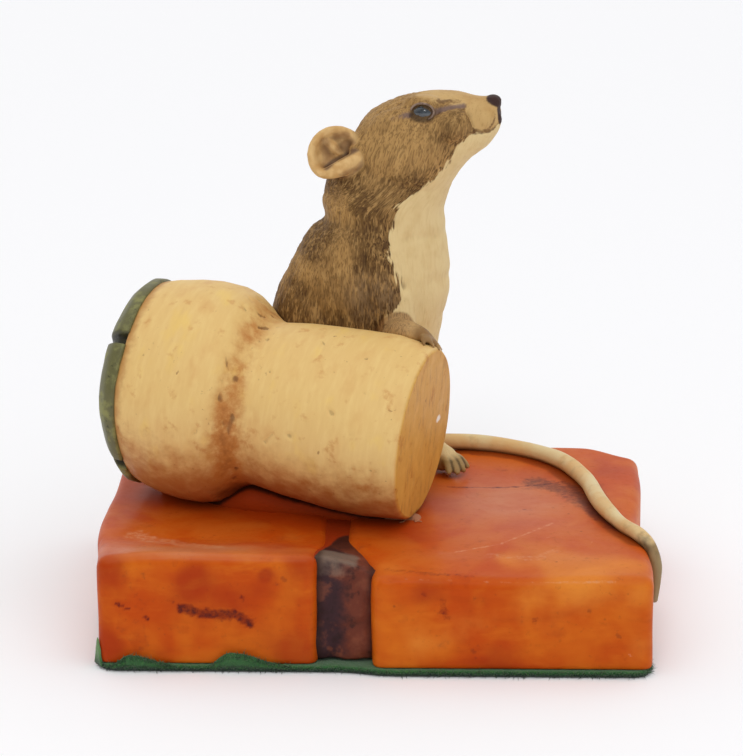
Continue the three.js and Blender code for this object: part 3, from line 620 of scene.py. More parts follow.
class Value:
    """A number or colour on a socket, for writing shader maths as plain expressions."""

    def __init__(self, tree, socket):
        self.tree = tree
        self.socket = socket

    def worked(self, operation, first, second):
        return self.tree.node("ShaderNodeMath", {"operation": operation}, {0: first, 1: second})

    def __add__(self, other):
        return self.worked("ADD", self, other)

    __radd__ = __add__

    def __sub__(self, other):
        return self.worked("SUBTRACT", self, other)

    def __rsub__(self, other):
        return self.worked("SUBTRACT", other, self)

    def __mul__(self, other):
        return self.worked("MULTIPLY", self, other)

    __rmul__ = __mul__


class Nodes:
    """A tree of nodes, and short ways to add the ones used here."""

    def __init__(self, tree):
        self.tree = tree
        tree.nodes.clear()

    def feed(self, socket, value):
        """Gives a socket a link, a number, a vector or a colour, which may be a web colour."""
        value = colour(value) if isinstance(value, str) else value
        if isinstance(value, Value):
            self.tree.links.new(value.socket, socket)
        elif hasattr(value, "__len__"):
            socket.default_value = tuple(value) + (1.0,) * (len(socket.default_value) - len(value))
        else:
            socket.default_value = value

    def node(self, kind, settings=None, inputs=None, output=0):
        """Adds a node, with its settings first and its sockets' values or links after them."""
        node = self.tree.nodes.new(kind)
        for name, value in (settings or {}).items():
            setattr(node, name, value)
        for name, value in (inputs or {}).items():
            self.feed(node.inputs[name], value)
        return Value(self, node.outputs[output]) if len(node.outputs) else None

    def place(self):
        return self.node("ShaderNodeTexCoord", output="Object")

    def mark(self, name, output="Fac"):
        return self.node("ShaderNodeAttribute", {"attribute_name": name}, output=output)

    def stretched(self, vector, factors):
        return self.node("ShaderNodeVectorMath", {"operation": "MULTIPLY"}, {0: vector, 1: factors})

    def clouds(self, size, detail=3.0, roughness=0.55, at=None, warp=0.0):
        """Soft noise from 0 to 1, in clouds of a size in millimetres."""
        inputs = {
            "Vector": at or self.place(), "Scale": 1 / (size * MM), "Detail": detail,
            "Roughness": roughness, "Distortion": warp,
        }
        return self.node("ShaderNodeTexNoise", inputs=inputs)

    def cells(self, size, at):
        return self.node("ShaderNodeTexVoronoi", inputs={"Vector": at, "Scale": 1 / (size * MM)})

    def step(self, value, low, high):
        """Rises smoothly from 0 to 1 between two values."""
        inputs = {"Value": value, "From Min": low, "From Max": high}
        return self.node("ShaderNodeMapRange", {"interpolation_type": "SMOOTHSTEP"}, inputs)

    def ragged(self, name, clouds, amount, low, high):
        """A mark whose edge is broken up by clouds, from 0 to 1."""
        return self.step(self.mark(name) + (clouds - 0.5) * amount, low, high)

    def mix(self, share, a, b):
        return self.node("ShaderNodeMix", {"data_type": "RGBA"}, {0: share, 6: a, 7: b}, output=2)

    def layers(self, base, *washes):
        """Lays washes over a base one after another: each a colour and how much of it shows."""
        for tone, share in washes:
            base = self.mix(share, base, tone)
        return base

    def darken(self, share, base, tone):
        settings = {"data_type": "RGBA", "blend_type": "MULTIPLY"}
        return self.node("ShaderNodeMix", settings, {0: share, 6: base, 7: tone}, output=2)


class Paint(Nodes):
    """A material in the making, and the nodes that colour it."""

    def __init__(self, name, **fixed):
        self.material = bpy.data.materials.new(name)
        self.material.use_nodes = True
        super().__init__(self.material.node_tree)
        self.shader = self.tree.nodes.new("ShaderNodeBsdfPrincipled")
        end = self.tree.nodes.new("ShaderNodeOutputMaterial")
        self.tree.links.new(self.shader.outputs["BSDF"], end.inputs["Surface"])
        for socket, value in fixed.items():
            self.set(socket.replace("_", " ").title().replace("Ior", "IOR"), value)

    def set(self, name, value):
        """Gives one of the surface's own sockets a value or a link."""
        self.feed(self.shader.inputs[name], value)

    def relief(self, height, depth, strength=1.0):
        """Feeds the surface's normal from a height, with a depth in millimetres."""
        inputs = {"Height": height, "Distance": depth * MM, "Strength": strength}
        self.set("Normal", self.node("ShaderNodeBump", inputs=inputs))


def side_wear(y):
    """How far the right end's face is worn back along its length."""
    return SIDE_WEAR * (bump(y, -5, 11) + 0.12 * smooth(y, 0, BACK))


def left_bulge(y):
    """How far the left end's face stands out along its length."""
    return LEFT_BULGE * (bump(y, -7, 13) - 0.4 * smooth(y, 8, BACK))


def top_height(x, y):
    """Height of the bricks' worn top at a place on the base."""
    ripple = 0.15 * np.sin(x / 5.3 + 1) * np.sin(y / 7.1)
    lip = LEFT_LIP_RISE * fade(y, FRONT + 1, FRONT + 17) * (1 - 0.2 * smooth(-x, RIGHT - 8, RIGHT))
    swell = BACK_SWELL * bump(x, RIGHT - 11, 6) * smooth(y, BACK - 20, BACK - 2)
    fall = RIGHT_FRONT_FALL * fade(y, FRONT, FRONT + 8)
    return BRICK_TOP + ripple + np.where(x < JOINT_X, lip, swell - fall)


def block(counts, half, middle, rounding):
    """A block with rounded edges, as an even grid of faces on each side."""
    grids = []
    for axis in range(3):
        for end in (-1, 1):
            u, v = [a for a in range(3) if a != axis]
            us = np.linspace(-1, 1, counts[u] + 1)
            vs = np.linspace(-1, 1, counts[v] + 1)
            grid = np.empty((len(us), len(vs), 3))
            grid[..., u] = us[:, None]
            grid[..., v] = vs[None, :]
            grid[..., axis] = end
            index = np.arange(len(us) * len(vs)).reshape(len(us), len(vs))
            corners = [index[:-1, :-1], index[1:, :-1], index[1:, 1:], index[:-1, 1:]]
            quads = np.stack(corners, -1).reshape(-1, 4)
            outward = end * (1 if axis != 1 else -1)
            grids.append((grid.reshape(-1, 3), quads if outward > 0 else quads[:, ::-1]))
    points = np.vstack([g for g, _ in grids])
    starts = np.cumsum([0] + [len(g) for g, _ in grids])
    faces = np.vstack([q + s for (_, q), s in zip(grids, starts)])
    keys = np.round(points * 1e5).astype(np.int64)
    _, first, inverse = np.unique(keys, axis=0, return_index=True, return_inverse=True)
    points = points[first]
    faces = inverse.ravel()[faces]
    half = np.asarray(half, float)
    points = np.sin(points * math.pi / 2 * EDGE_CROWDING) / math.sin(math.pi / 2 * EDGE_CROWDING) * half
    core = np.clip(points, -(half - rounding), half - rounding)
    out = points - core
    out = out / np.maximum(np.linalg.norm(out, axis=1), 1e-9)[:, None] * rounding
    return core + out + np.asarray(middle), faces.tolist()


def brick(x0, x1, front, narrowing):
    """One brick's worn block, with its uneven top and rounded arris."""
    half = np.array([(x1 - x0) / 2, (BACK - front) / 2, BRICK_HEIGHT / 2])
    middle = np.array([(x0 + x1) / 2, (BACK + front) / 2, (BRICK_BOTTOM + BRICK_TOP) / 2])
    counts = [int(half[0] * 6), int(half[1] * 5.6), 50]
    sunk = np.array([0, 0, BRICK_ROUNDING * 0.4])
    points, faces = block(counts, half + sunk, middle - sunk, BRICK_ROUNDING)
    points[:, 2] = np.maximum(points[:, 2], BRICK_BOTTOM - 0.2)
    x, y, z = points.T.copy()
    outward = 1 if middle[0] > JOINT_X else -1
    from_joint = (x - JOINT_X) * outward
    if outward > 0:
        y = y - CORNER_WEAR * smooth(y, BACK - 16, BACK) * smooth(x, RIGHT - 9, RIGHT)
    endwise = smooth(from_joint, half[0], 2 * half[0] + JOINT_WIDTH / 2 - 2)
    swing = side_wear(y) if outward > 0 else left_bulge(y)
    inwards = np.minimum(1, (middle[0] - x) * outward / 8)
    shut = fade(np.abs(y), BACK - 17, BACK - 2)
    outer = (x - middle[0]) * outward > 0
    x = np.where(outer, x - swing * endwise, x - outward * narrowing * shut * inwards)
    raised = np.maximum(0, (z - BRICK_BOTTOM) / BRICK_HEIGHT)
    inside = np.maximum(x, JOINT_X + 0.1) if outward > 0 else np.minimum(x, JOINT_X - 0.1)
    z = z + raised * (top_height(inside, y) - BRICK_TOP)
    return np.stack([x, y, z], 1), faces


def cork_axes():
    """The cork's sideways, lengthways and upward directions."""
    level = math.cos(math.asin(CORK_RISE))
    along = np.array([-math.cos(CORK_TURN) * level, math.sin(CORK_TURN) * level, CORK_RISE])
    side = np.cross(along, [0.0, 0.0, 1.0])
    side /= np.linalg.norm(side)
    return side, along, np.cross(side, along)


CORK_AXES = np.stack(cork_axes(), 1)


def in_cork(points):
    """Places in the cork's own frame: across it, along it and up."""
    return (points - CORK_END) @ CORK_AXES


def out_of_cork(local):
    return local @ CORK_AXES.T + CORK_END


def on_cork(along, turn, lift):
    """A place on the cork: along its axis, turned from its top towards its back, and lifted."""
    angle = math.radians(turn)
    radius = CORK_END_RADIUS + lift
    return CORK_AXES @ np.array([math.sin(angle) * radius, along, math.cos(angle) * radius]) + CORK_END


def cork_radius(along):
    """The cork's radius, with its waist softened."""
    places, radii = zip(*CORK_OUTLINE)
    around = [np.interp(along + shift, places, radii) for shift in (-1.4, -0.7, 0, 0.7, 1.4)]
    soft = bump(np.asarray(along), CORK_WAIST_AT, 4)
    return mixed(around[2], np.mean(around, axis=0), soft)


def clear_of_base(points, gap=0.05):
    """Presses points that reach into the cork or the bricks back to their surfaces."""
    side, along, up = in_cork(points).T
    radius = np.hypot(side, up)
    wanted = np.interp(along, *zip(*CORK_OUTLINE)) + gap
    inside = (along > -gap) & (along < CORK_LENGTH) & (radius < wanted)
    grow = np.where(inside, wanted / np.maximum(radius, 1e-3), 1)
    points = out_of_cork(np.stack([side * grow, along, up * grow], 1))
    floor = top_height(points[:, 0], points[:, 1]) + gap
    points[:, 2] = np.maximum(points[:, 2], floor)
    return points


def body_between(front, back, middle_y, steps, sides):
    """Rings between a front and a back outline. The front's points carry half the width."""
    shares = np.linspace(0, 1, steps + 1)
    ahead = spline([(x, width, z) for x, z, width in front], shares)
    behind = spline([(x, 0, z) for x, z in back], shares)
    centre = (ahead + behind) / 2
    centre[:, 1] = middle_y(shares)
    reach = (ahead * [1, 0, 1] - behind) / 2
    angles = np.linspace(0, 2 * math.pi, sides, endpoint=False)
    rings = centre[:, None] + reach[:, None] * np.cos(angles)[None, :, None]
    rings[..., 1] += ahead[:, 1, None] * np.sin(angles)[None, :]
    return rings


def in_head(points):
    """Places in the head's own frame for places in the object's frame."""
    return (points - MOUSE_AT - HEAD_AT) @ HEAD_SPIN


def out_of_head(points):
    return turned(points, HEAD_SPIN, HEAD_AT + MOUSE_AT)


def ear_axes(pose):
    """The ear's directions: ahead, up and out of its opening."""
    out = np.array(pose[1]) / np.linalg.norm(pose[1])
    up = np.array([0.0, 0.0, 1.0]) - out * out[2]
    up /= np.linalg.norm(up)
    return np.stack([np.cross(up, out) * -np.sign(out[1]), up, out], 1)


def ear_form(pose):
    """A cupped ear with a rolled rim, a folded lower lobe and a root that reaches into the skull."""
    middle, axes = np.array(pose[0]), ear_axes(pose)
    outline = spline([(radius, height, 0) for radius, height in EAR_OUTLINE], np.linspace(0, 1, 70))
    cup, faces = lathe(outline[:, :2], 96)
    cup[:, 1] *= 1 - 0.24 * smooth(-cup[:, 1], 0, EAR_RADIUS)
    cup[:, 1] += 0.25
    cup[:, 2] -= 1.1 * smooth(cup[:, 0], 0.5, EAR_RADIUS)
    mirrored = np.linalg.det(axes) < 0
    forms = [(middle + cup @ axes.T, flipped(faces, not mirrored))]
    for course in ((EAR_LOBE, [0.8, 1.3, 1.3, 1.0], 24, 20), (EAR_RIDGE, [0.5, 0.65, 0.4], 20, 16)):
        points, faces = limb(*course)
        forms.append((middle + points @ axes.T, flipped(faces, mirrored)))
    skull_side = np.array([-2, math.copysign(4, pose[1][1]), 1])
    return forms + [egg(mixed(middle, skull_side, 0.6), (2.6, 1.6, 2.7))]


def head_forms():
    forms = [skinned(body_between(HEAD_BELOW, HEAD_ABOVE, lambda t: t * 0, 90, 90))]
    forms += [egg(*form) for form in NOSE_FORMS]
    for side, (centre, radii, tilt) in itertools.product((-1, 1), CHEEK_FORMS):
        forms.append(egg(np.array(centre) * [1, side, 1], radii, spin(0, -tilt, 0)))
    return forms + ear_form(NEAR_EAR) + ear_form(FAR_EAR)


def digits(start, tips, radius):
    forms = []
    for tip in tips:
        tip = np.asarray(tip, float)
        knuckle = mixed(start, tip, 0.55) + [0, 0, radius]
        forms.append(limb([start, knuckle, tip], [radius * 1.1, radius, radius * 0.6], 16, 16))
    return forms


def toe_tips(heel, toe, spread, shares):
    """Places across a foot's toes, for shares of its spread."""
    heel, toe = np.array(heel, float), np.array(toe, float)
    forward = (toe - heel) / np.linalg.norm(toe - heel)
    across = np.array([-forward[1], forward[0], 0])
    return [toe + across * share * spread - forward * 0.5 * share * share for share in shares]


def hind_foot(heel, toe, spread):
    ball = mixed(np.array(heel), np.array(toe), 0.5)
    sole = limb([heel, ball, mixed(ball, np.array(toe), 0.2)], [2.0, 2.1, 1.5], 20)
    return [sole] + digits(ball, toe_tips(heel, toe, spread, (-1.1, -0.35, 0.4, 1.15)), 0.85)


def toe_gaps(points):
    """Marks the dark lines between the toes of both feet."""
    nearest = np.full(len(points), 9.0)
    for heel, toe, spread in FEET:
        start = mixed(np.array(heel), np.array(toe), 0.62)
        for tip in toe_tips(heel, toe, spread, (-0.72, 0.02, 0.78)):
            course = np.array([start + (tip - toe) * 0.5, tip])
            nearest = np.minimum(nearest, near_line(points * [1, 1, 0], course * [1, 1, 0]))
    return fade(nearest, 0.08, 0.4)


def lower_forms():
    """Haunches, shins, feet, the tucked left forepaw and the right upper arm."""
    lean = spin(0, 0.35, 0)
    forms = [egg((-4.5, side * 5.9 + 0.9, 11.2), (10, 5, 9.5), lean) for side in (-1, 1)]
    forms.append(limb([(1, -5.5, 6), (3.5, -5, 3), (3, -4.6, 1.6)], [2.8, 1.9, 1.4]))
    forms.append(limb([(1.5, 5, 8), (7, 3.8, 4.8), (8.6, 2.6, 2.4)], [3.2, 2.1, 1.7]))
    for foot in FEET:
        forms += hind_foot(*foot)
    wrist = np.array([8.2, 6, 29])
    forms.append(limb([(3, 6, 34), (3.5, 8.6, 29), (6.6, 8, 27.2), wrist], [3, 2.4, 1.6, 1.3]))
    forms += digits(wrist, [(9.4, 3.6, 30), (9.8, 4.4, 31.4), (9.2, 5.6, 32.4)], 0.6)
    upper_arm = [(-0.6, -5.4, 42), (0.2, -6.0, 37), (0.8, -6.2, 32), (1.2, -6.4, 28)]
    forms.append(limb(upper_arm, [2.2, 3.1, 3.2, 2.8]))
    return forms


def arm_forms():
    """The right forearm on the cork, with its paw over the edge of the end disc."""
    course = [MOUSE_AT + [2, -5, 31]] + [on_cork(*place) for place in FOREARM + [KNUCKLES]]
    tips = [on_cork(*place) for place in FINGERTIPS]
    return [limb(course, [3.6, 2.9, 2.1, 1.5, 1.2])] + digits(on_cork(*FOREARM[-1]), tips, 0.55)


def coat_skin(cell):
    figure = [skinned(body_between(TORSO_FRONT, TORSO_BACK, lambda t: 1 - t, 120, 110))]
    figure += [(turned(points, HEAD_SPIN, HEAD_AT), faces) for points, faces in head_forms()]
    figure += lower_forms()
    placed = [(points + MOUSE_AT, faces) for points, faces in figure]
    skin = Skin(placed + arm_forms(), cell)
    skin.relax(5)
    return skin


def within(points, centre, radii):
    """Distance from a centre as a share of the radii: below 1 inside."""
    return np.linalg.norm((points - np.asarray(centre)) / np.asarray(radii), axis=1)


def near_line(points, course):
    """Distance to a line through places."""
    course = np.asarray(course, float)
    best = np.full(len(points), 1e9)
    for a, b in zip(course[:-1], course[1:]):
        share = np.clip(((points - a) @ (b - a)) / ((b - a) @ (b - a)), 0, 1)
        best = np.minimum(best, np.linalg.norm(points - (a + share[:, None] * (b - a)), axis=1))
    return best


def stroke(points, course, low, high):
    """A painted stroke along a line: 1 within the low distance, 0 beyond the high one."""
    return fade(near_line(points, course), low, high)


def spot(points, centre, radii, low, high):
    """A painted oval: 1 within the low share of its radii, 0 beyond the high one."""
    return fade(within(points, centre, radii), low, high)


def from_form(points, form):
    """Distance to the nearest point of a form, for the places round it."""
    cloud = np.asarray(form[0])
    out = np.full(len(points), 9.0)
    close = np.nonzero(np.linalg.norm(points - cloud.mean(0), axis=1) < 7.5)[0]
    for part in np.array_split(close, 1 + len(close) // 2000):
        out[part] = np.linalg.norm(points[part][:, None] - cloud[None], axis=2).min(1)
    return out


def mark_ears(skin, head):
    """Marks the ears' bare skin, the brown wash inside them, which is partly painted shade in the cup, and
    the painted shadow of the crease.
    """
    ears, inner, crease = np.zeros((3, len(head)))
    facing = skin.normals() @ HEAD_SPIN
    for pose in (NEAR_EAR, FAR_EAR):
        axes = ear_axes(pose)
        ahead, up, _ = ((head - pose[0]) @ axes).T
        distance = np.minimum.reduce([from_form(head, form) for form in ear_form(pose)[:3]])
        ear = fade(distance, 0.4, 0.75) * (1 - 0.9 * smooth(ahead, 3.2, 4.6))
        flat = np.stack([ahead, up, np.zeros(len(head))], 1)
        band = stroke(flat, EAR_BAND, 0.2, 1.5)
        top_stroke = stroke(flat, EAR_STROKE, 0.1, 1.1)
        patch = spot(flat, (2.3, 0.9, 0), (2.4, 1.4, 1), 0.4, 1.3)
        lobe_foot = stroke(flat, LOBE_FOOT, 0.2, 0.9)
        wash = np.maximum.reduce([0.8 * band, 0.9 * top_stroke, patch, 0.8 * lobe_foot])
        opening = ear * smooth(facing @ axes[:, 2], 0.0, 0.5)
        ears = np.maximum(ears, ear)
        inner = np.maximum(inner, opening * wash)
        crease = np.maximum(crease, opening * stroke(flat, LOBE_LINE, 0.15, 0.6))
    skin.marks |= {"inner": inner, "crease": crease}
    return ears


def mark_face(skin, head, on_head):
    """Marks the tan muzzle and brow, the stripes and lines by the eyes, the sockets and the nose."""
    side = head.copy()
    side[:, 1] = -np.abs(head[:, 1])
    x, y, z = side.T
    muzzle = spot(side, (14.5, -1.8, 0.7), (2.9, 3, 3), 0.82, 1.12)
    bridge = smooth(x, 9.5, 12.5) * smooth(z + 0.15 * (x - 12), 2.4, 3.8)
    brow = spot(side, (8.8, -2.2, 6.2), (4.6, 3.0, 2.1), 0.55, 1.3)
    skin.marks["tan"] = np.maximum.reduce([muzzle, bridge, brow]) * on_head
    stripes = np.maximum(stroke(side, STRIPE_BEFORE, 0.1, 1.0), stroke(side, STRIPE_BEHIND, 0.1, 0.9))
    skin.marks["stripe"] = stripes * on_head
    rim = np.abs(within(side, (14.4, -2.6, 0.6), (2.35, 2.2, 2.4)) - 1)
    pad_edge = fade(rim, 0.0, 0.2) * fade(z - 0.4 * (14 - x), 0.2, 1.8)
    # The line over the eye is painted shade under the brow ridge
    over_eye, below_eye = stroke(side, OVER_EYE, 0.15, 1.0), 0.7 * stroke(side, BELOW_EYE, 0.1, 0.8)
    lines = np.maximum.reduce([pad_edge, over_eye, stroke(side, LIP, 0.1, 0.5), below_eye])
    skin.marks["line"] = lines * on_head
    tip = within(side, (17.0, -0.3, 2.0), (1.5, 1.6, 1.3))
    below_tip = within(side, (16.6, 0, -0.2), (0.95, 1.0, 1.9))
    skin.marks["nose"] = fade(np.minimum(tip, below_tip), 0.8, 1.2)
    cos, sin = math.cos(EYE_TILT), math.sin(EYE_TILT)
    ahead, over = x - EYE_AT[0], z - EYE_AT[2]
    ring = np.hypot((ahead * cos + over * sin) / 1.75, (over * cos - ahead * sin) / 1.2)
    skin.marks["socket"] = fade(ring, 0.95, 1.35) * on_head * (y < -3)


def mark_limbs(skin, own, ears):
    """Marks the bare paws and feet, the forearm, the grey sleeve and the shadow against the cork."""
    x, _, z = own.T
    across, along, up = in_cork(skin.points).T
    from_axis = np.hypot(across, up)
    near_side = skin.points[:, 1]
    paw = fade(along, 3.6, 6.6) * (from_axis < 19) * (up > 3) * (near_side < 10)
    feet = fade(z, 2.6, 3.6) * smooth(x, -1, 1)
    tucked = spot(own, (9.0, 4.8, 30.4), (2.2, 3.2, 3.4), 0.85, 1.05)
    forearm = stroke(skin.points, [on_cork(*place) for place in FOREARM], 3.2, 4.2)
    skin.marks |= {
        "bare": np.maximum.reduce([ears, paw, feet, tucked]),
        "contact": fade(from_axis - cork_radius(along), 0.2, 1.3) * (z > 16) * (x < 2),
        "hand": paw * mixed(0.7, 1, smooth(along, 0.3, 1.3)),
        "foot": feet,
        "toes": feet * toe_gaps(own),
        "forearm": forearm * (near_side < 14) * fade(z, 30, 32),
        "sleeve": np.exp(-(((x + 1.2) / 4.2) ** 2 + ((z - 31.6) / 4.4) ** 2) ** 2),
    }


def mark_fur(skin, own, head, on_head):
    """Marks the cream's edge, the coat's light and dark places, and the way its fur lies."""
    x, _, z = own.T
    heights, edges = zip(*CREAM_EDGE)
    skin.marks["cream"] = x - np.interp(z, heights, edges)
    crown = smooth(head[:, 2], 4.8, 7.0) * smooth(head[:, 0], -5, 1)
    tone = 0.35 * noise(skin.points, 3.4, 51) + 0.2 * noise(skin.points, 1.7, 53)
    for at, height, radius, amount in TONES:
        tone += amount * np.exp(-((x - at) ** 2 + (z - height) ** 2) / radius**2)
    skin.marks["tone"] = tone + 0.5 * crown * on_head
    lie = mixed(BODY_LIE, HEAD_LIE, on_head[:, None])
    lie /= np.linalg.norm(lie, axis=1)[:, None]
    centred = own - [0, 0, 30]
    skin.marks["lie"] = (centred - 0.8 * (centred * lie).sum(1)[:, None] * lie) * MM


def mark_coat(skin):
    """Marks where the coat is cream, tan, bare or dark, and which way its fur lies."""
    own = skin.points - MOUSE_AT
    head = in_head(skin.points)
    on_head = smooth(own[:, 2], *NECK)
    mark_face(skin, head, on_head)
    mark_limbs(skin, own, mark_ears(skin, head))
    mark_fur(skin, own, head, on_head)


def carve_coat(skin, size, depth):
    """Raises the fur's tufts along the way it lies, and leaves the bare parts smooth."""
    lie = skin.marks["lie"] / MM
    furred = 1 - np.maximum(skin.marks["bare"], 0.9 * skin.marks["tan"])
    cream = smooth(skin.marks["cream"], -0.2, 0.6)
    tufts = noise(lie, size * 0.55, 3) + 0.6 * noise(lie, size * 0.3, 5)
    lumps = noise(skin.points, 5.5, 7) * 0.25 + noise(skin.points, 2.6, 9) * 0.1
    height = skin.points[:, 2] - MOUSE_AT[2]
    wander = noise(skin.points, 5, 13)
    folds = bump(height + wander, 40.3, 1.1) + bump(height - wander, 33.2, 1.1)
    folds = folds + 0.6 * bump(height + wander, 26, 1)
    folds = folds * cream * (height < 44) * smooth(noise(skin.points, 4, 15), -0.5, 0.2)
    fluff = tufts * depth * (1 - 0.75 * cream) + lumps * (1 - 0.5 * cream)
    skin.push(furred * fluff + 0.12 * furred - 0.28 * folds)


class Coat(Paint):
    """The mouse's coat, with the noises that its layers share."""

    def __init__(self, settings):
        super().__init__("mouse_coat", specular_ior_level=0.2)
        self.tones = settings
        self.lie = self.mark("lie", "Vector")
        self.hollow = self.mark("hollow")
        self.strokes = self.clouds(0.3, 2, 0.5, self.lie)
        self.hairs = self.clouds(0.22, 1, 0.5, self.lie)
        self.broad = self.clouds(0.75, 2, 0.5, self.lie)
        self.mottle = self.clouds(1.6, 3)

    def fur(self, cream):
        """Brown fur, darker in its hollows, beside the cream and against the cork."""
        tone = self.mark("tone")
        dark, light = self.tones.fur_dark, self.tones.fur_light
        nearness = 1 - self.step(cream * -1.0, 0.0, 3.6)
        depth = 0.42 + 0.4 * nearness + 0.25 * self.step(tone * -1.0, -0.2, 0.6)
        return self.layers(
            dark,
            (light, self.step(tone + (self.mottle - 0.5) * 0.9, -0.6, 0.6)),
            (self.tones.fur, 0.4),
            (self.tones.grey, self.mark("sleeve") * 0.6),
            ("#cca468", self.step(self.broad, 0.52, 0.7) * 0.4),
            (light, self.step(self.strokes, 0.52, 0.62) * 0.45),
            (dark, self.step(self.hairs, 0.5, 0.6) * depth),
            ("#3c2413", self.step(1 - self.broad, 0.54, 0.66) * depth * 0.5),
            (dark, self.step(self.hollow, 0.02, 0.16) * 0.5),
            ("#33200f", self.ragged("contact", self.mottle, 0.8, 0.2, 0.9) * 0.8),
        )

    def belly(self):
        """The cream of the throat, chest and belly."""
        return self.layers(
            self.tones.cream,
            (self.tones.tan, self.step(self.clouds(0.5, 2, 0.5, self.lie), 0.45, 0.75) * 0.25),
            (self.tones.tan, self.step(self.clouds(3.2, 2), 0.45, 0.75) * 0.3),
        )

    def muzzle(self):
        """The tan of the muzzle and the brow."""
        return self.layers(
            self.tones.tan,
            ("#ac8049", self.step(self.clouds(2.6, 3), 0.4, 0.75) * 0.5),
            (self.tones.fur, self.step(self.strokes, 0.55, 0.68) * 0.25),
        )

    def bare_skin(self):
        """The skin of the ears, feet and paws."""
        return self.layers(
            self.tones.skin,
            ("#b5803e", self.step(self.mottle, 0.38, 0.66) * 0.45),
            # Brown wash inside the ears, partly painted shade in the cup
            (self.tones.fold, self.ragged("inner", self.mottle, 0.9, 0.15, 1.0) * 0.62),
            ("#56403a", self.mark("crease") * 0.75),
            ("#867246", self.mark("foot") * 0.65),
            ("#3c2e1a", self.mark("toes") * 0.8),
            ("#6e4c2a", self.ragged("hand", self.mottle, 0.7, 0.1, 1.0) * 0.75),
        )

    def painted(self):
        """Joins the parts of the coat, and adds the painted lines and the relief."""
        cream, tan, bare = self.mark("cream"), self.mark("tan"), self.mark("bare")
        jagged = cream + (self.broad - 0.5) * 2.8 + (self.strokes - 0.5) * 1.4
        forearm = self.mix(self.step(self.hairs, 0.45, 0.65), "#a67c4c", "#74502e")
        base = self.layers(
            self.fur(cream),
            (self.belly(), self.step(jagged, -0.2, 0.25)),
            (forearm, self.ragged("forearm", self.mottle, 0.8, 0.25, 0.9) * 0.8),
            (self.muzzle(), self.ragged("tan", self.clouds(0.9, 3), 0.9, 0.2, 0.8)),
            (self.bare_skin(), bare),
            (self.tones.stripe, self.ragged("stripe", self.strokes, 0.9, 0.15, 1.0) * 0.8),
            ("#5c3a1e", self.ragged("line", self.clouds(0.5, 2), 1.4, 0.35, 1.1) * 0.75),
            ("#2a1c16", self.mark("socket") * 0.8),
            (self.tones.nose, self.ragged("nose", self.clouds(0.5), 0.5, 0.1, 0.9)),
        )
        self.set("Base Color", self.darken(self.step(self.hollow, 0.03, 0.2) * 0.75, base, "#5c4030"))
        self.set("Roughness", 0.6 - 0.1 * tan - 0.1 * bare + 0.1 * (self.strokes - 0.5))
        furred = 1 - self.step(bare + tan * 0.8, 0.2, 0.8)
        tufts = (self.strokes * 0.5 + self.hairs * 0.4 + self.broad * 0.5) * furred
        self.relief(tufts + self.clouds(0.4) * 0.12, 0.2, 0.8)
        return self.material


def laid(x, y, radius):
    """A place where a limb of a radius lies on the bricks."""
    return (x, y, float(top_height(np.array(x), np.array(y))) + radius * 0.9)


def tail_skin():
    root = MOUSE_AT + [-13, 2.5, 4]
    points = [tuple(root), laid(root[0] + 0.5, BACK - 4, 1.8), laid(root[0] + 6.5, BACK - 1.4, 1.8)]
    points += [laid(RIGHT - inset, BACK - setback, radius) for inset, setback, radius in TAIL_COURSE]
    for setback, drop, radius, inset in TAIL_END:
        y = BACK - setback
        x = RIGHT - float(side_wear(np.array(y))) + GAP + radius * 0.9 - inset
        points.append((x, y, BRICK_TOP - drop))
    radii = [2.6, 2.07, 1.8] + [r for _, _, r in TAIL_COURSE] + [r for _, _, r, _ in TAIL_END]
    skin = Skin([limb(points, radii, 420, 36)])
    skin.push(noise(skin.points, 3.4, 12) * 0.08)
    skin.mark_hollows(8)
    x, y, z = skin.points.T
    # Painted shade on the tail's underside where it lies on the bricks
    skin.marks["under"] = fade(z - top_height(x, y), 0.2, 1.1)
    # The dark at the bend is partly a painted outline and partly painted shade where the tail drops
    skin.marks["bend"] = bump(np.linalg.norm(skin.points - TAIL_BEND, axis=1), 0, 3.2)
    return skin


def tail_material(settings):
    paint = Paint("mouse_tail", specular_ior_level=0.45)
    patch = paint.step(paint.clouds(6, 3), 0.38, 0.66)
    paint.set("Base Color", paint.layers(
        settings.tail,
        (settings.skin, patch),
        (settings.fur, paint.step(paint.clouds(2.4, 4), 0.54, 0.75) * 0.3),
        (settings.fur_dark, paint.step(paint.mark("hollow"), 0.02, 0.2) * 0.5),
        # Painted shade on the tail's underside
        ("#6f5530", paint.mark("under") * 0.75),
        # Painted outline and painted shade at the bend
        ("#3d2a18", paint.ragged("bend", paint.clouds(1.3, 3), 1.6, 0.4, 1.2) * 0.65),
    ))
    paint.set("Roughness", 0.42 + 0.2 * patch)
    paint.relief(paint.clouds(0.45, 3), 0.1, 0.5)
    return paint.material


def cork_rings(outline, sides, notch=0.0):
    """A closed form round the cork's axis, which leans at the cap's end, with a notched rim."""
    around = np.linspace(0, 2 * math.pi, sides, endpoint=False)
    low = smooth(-np.cos(around) * CORK_HEAD_RADIUS, -4, CORK_HEAD_RADIUS)
    rings = []
    for radius, along in outline:
        lean = CAP_LEAN * low * smooth(along, CORK_HEAD_AT, CORK_LENGTH)
        reach = radius - notch * smooth(radius, 10.5, 12.5)
        local = np.stack([np.sin(around) * reach, along - lean, np.cos(around) * reach], 1)
        rings.append(out_of_cork(local))
    return skinned(rings)


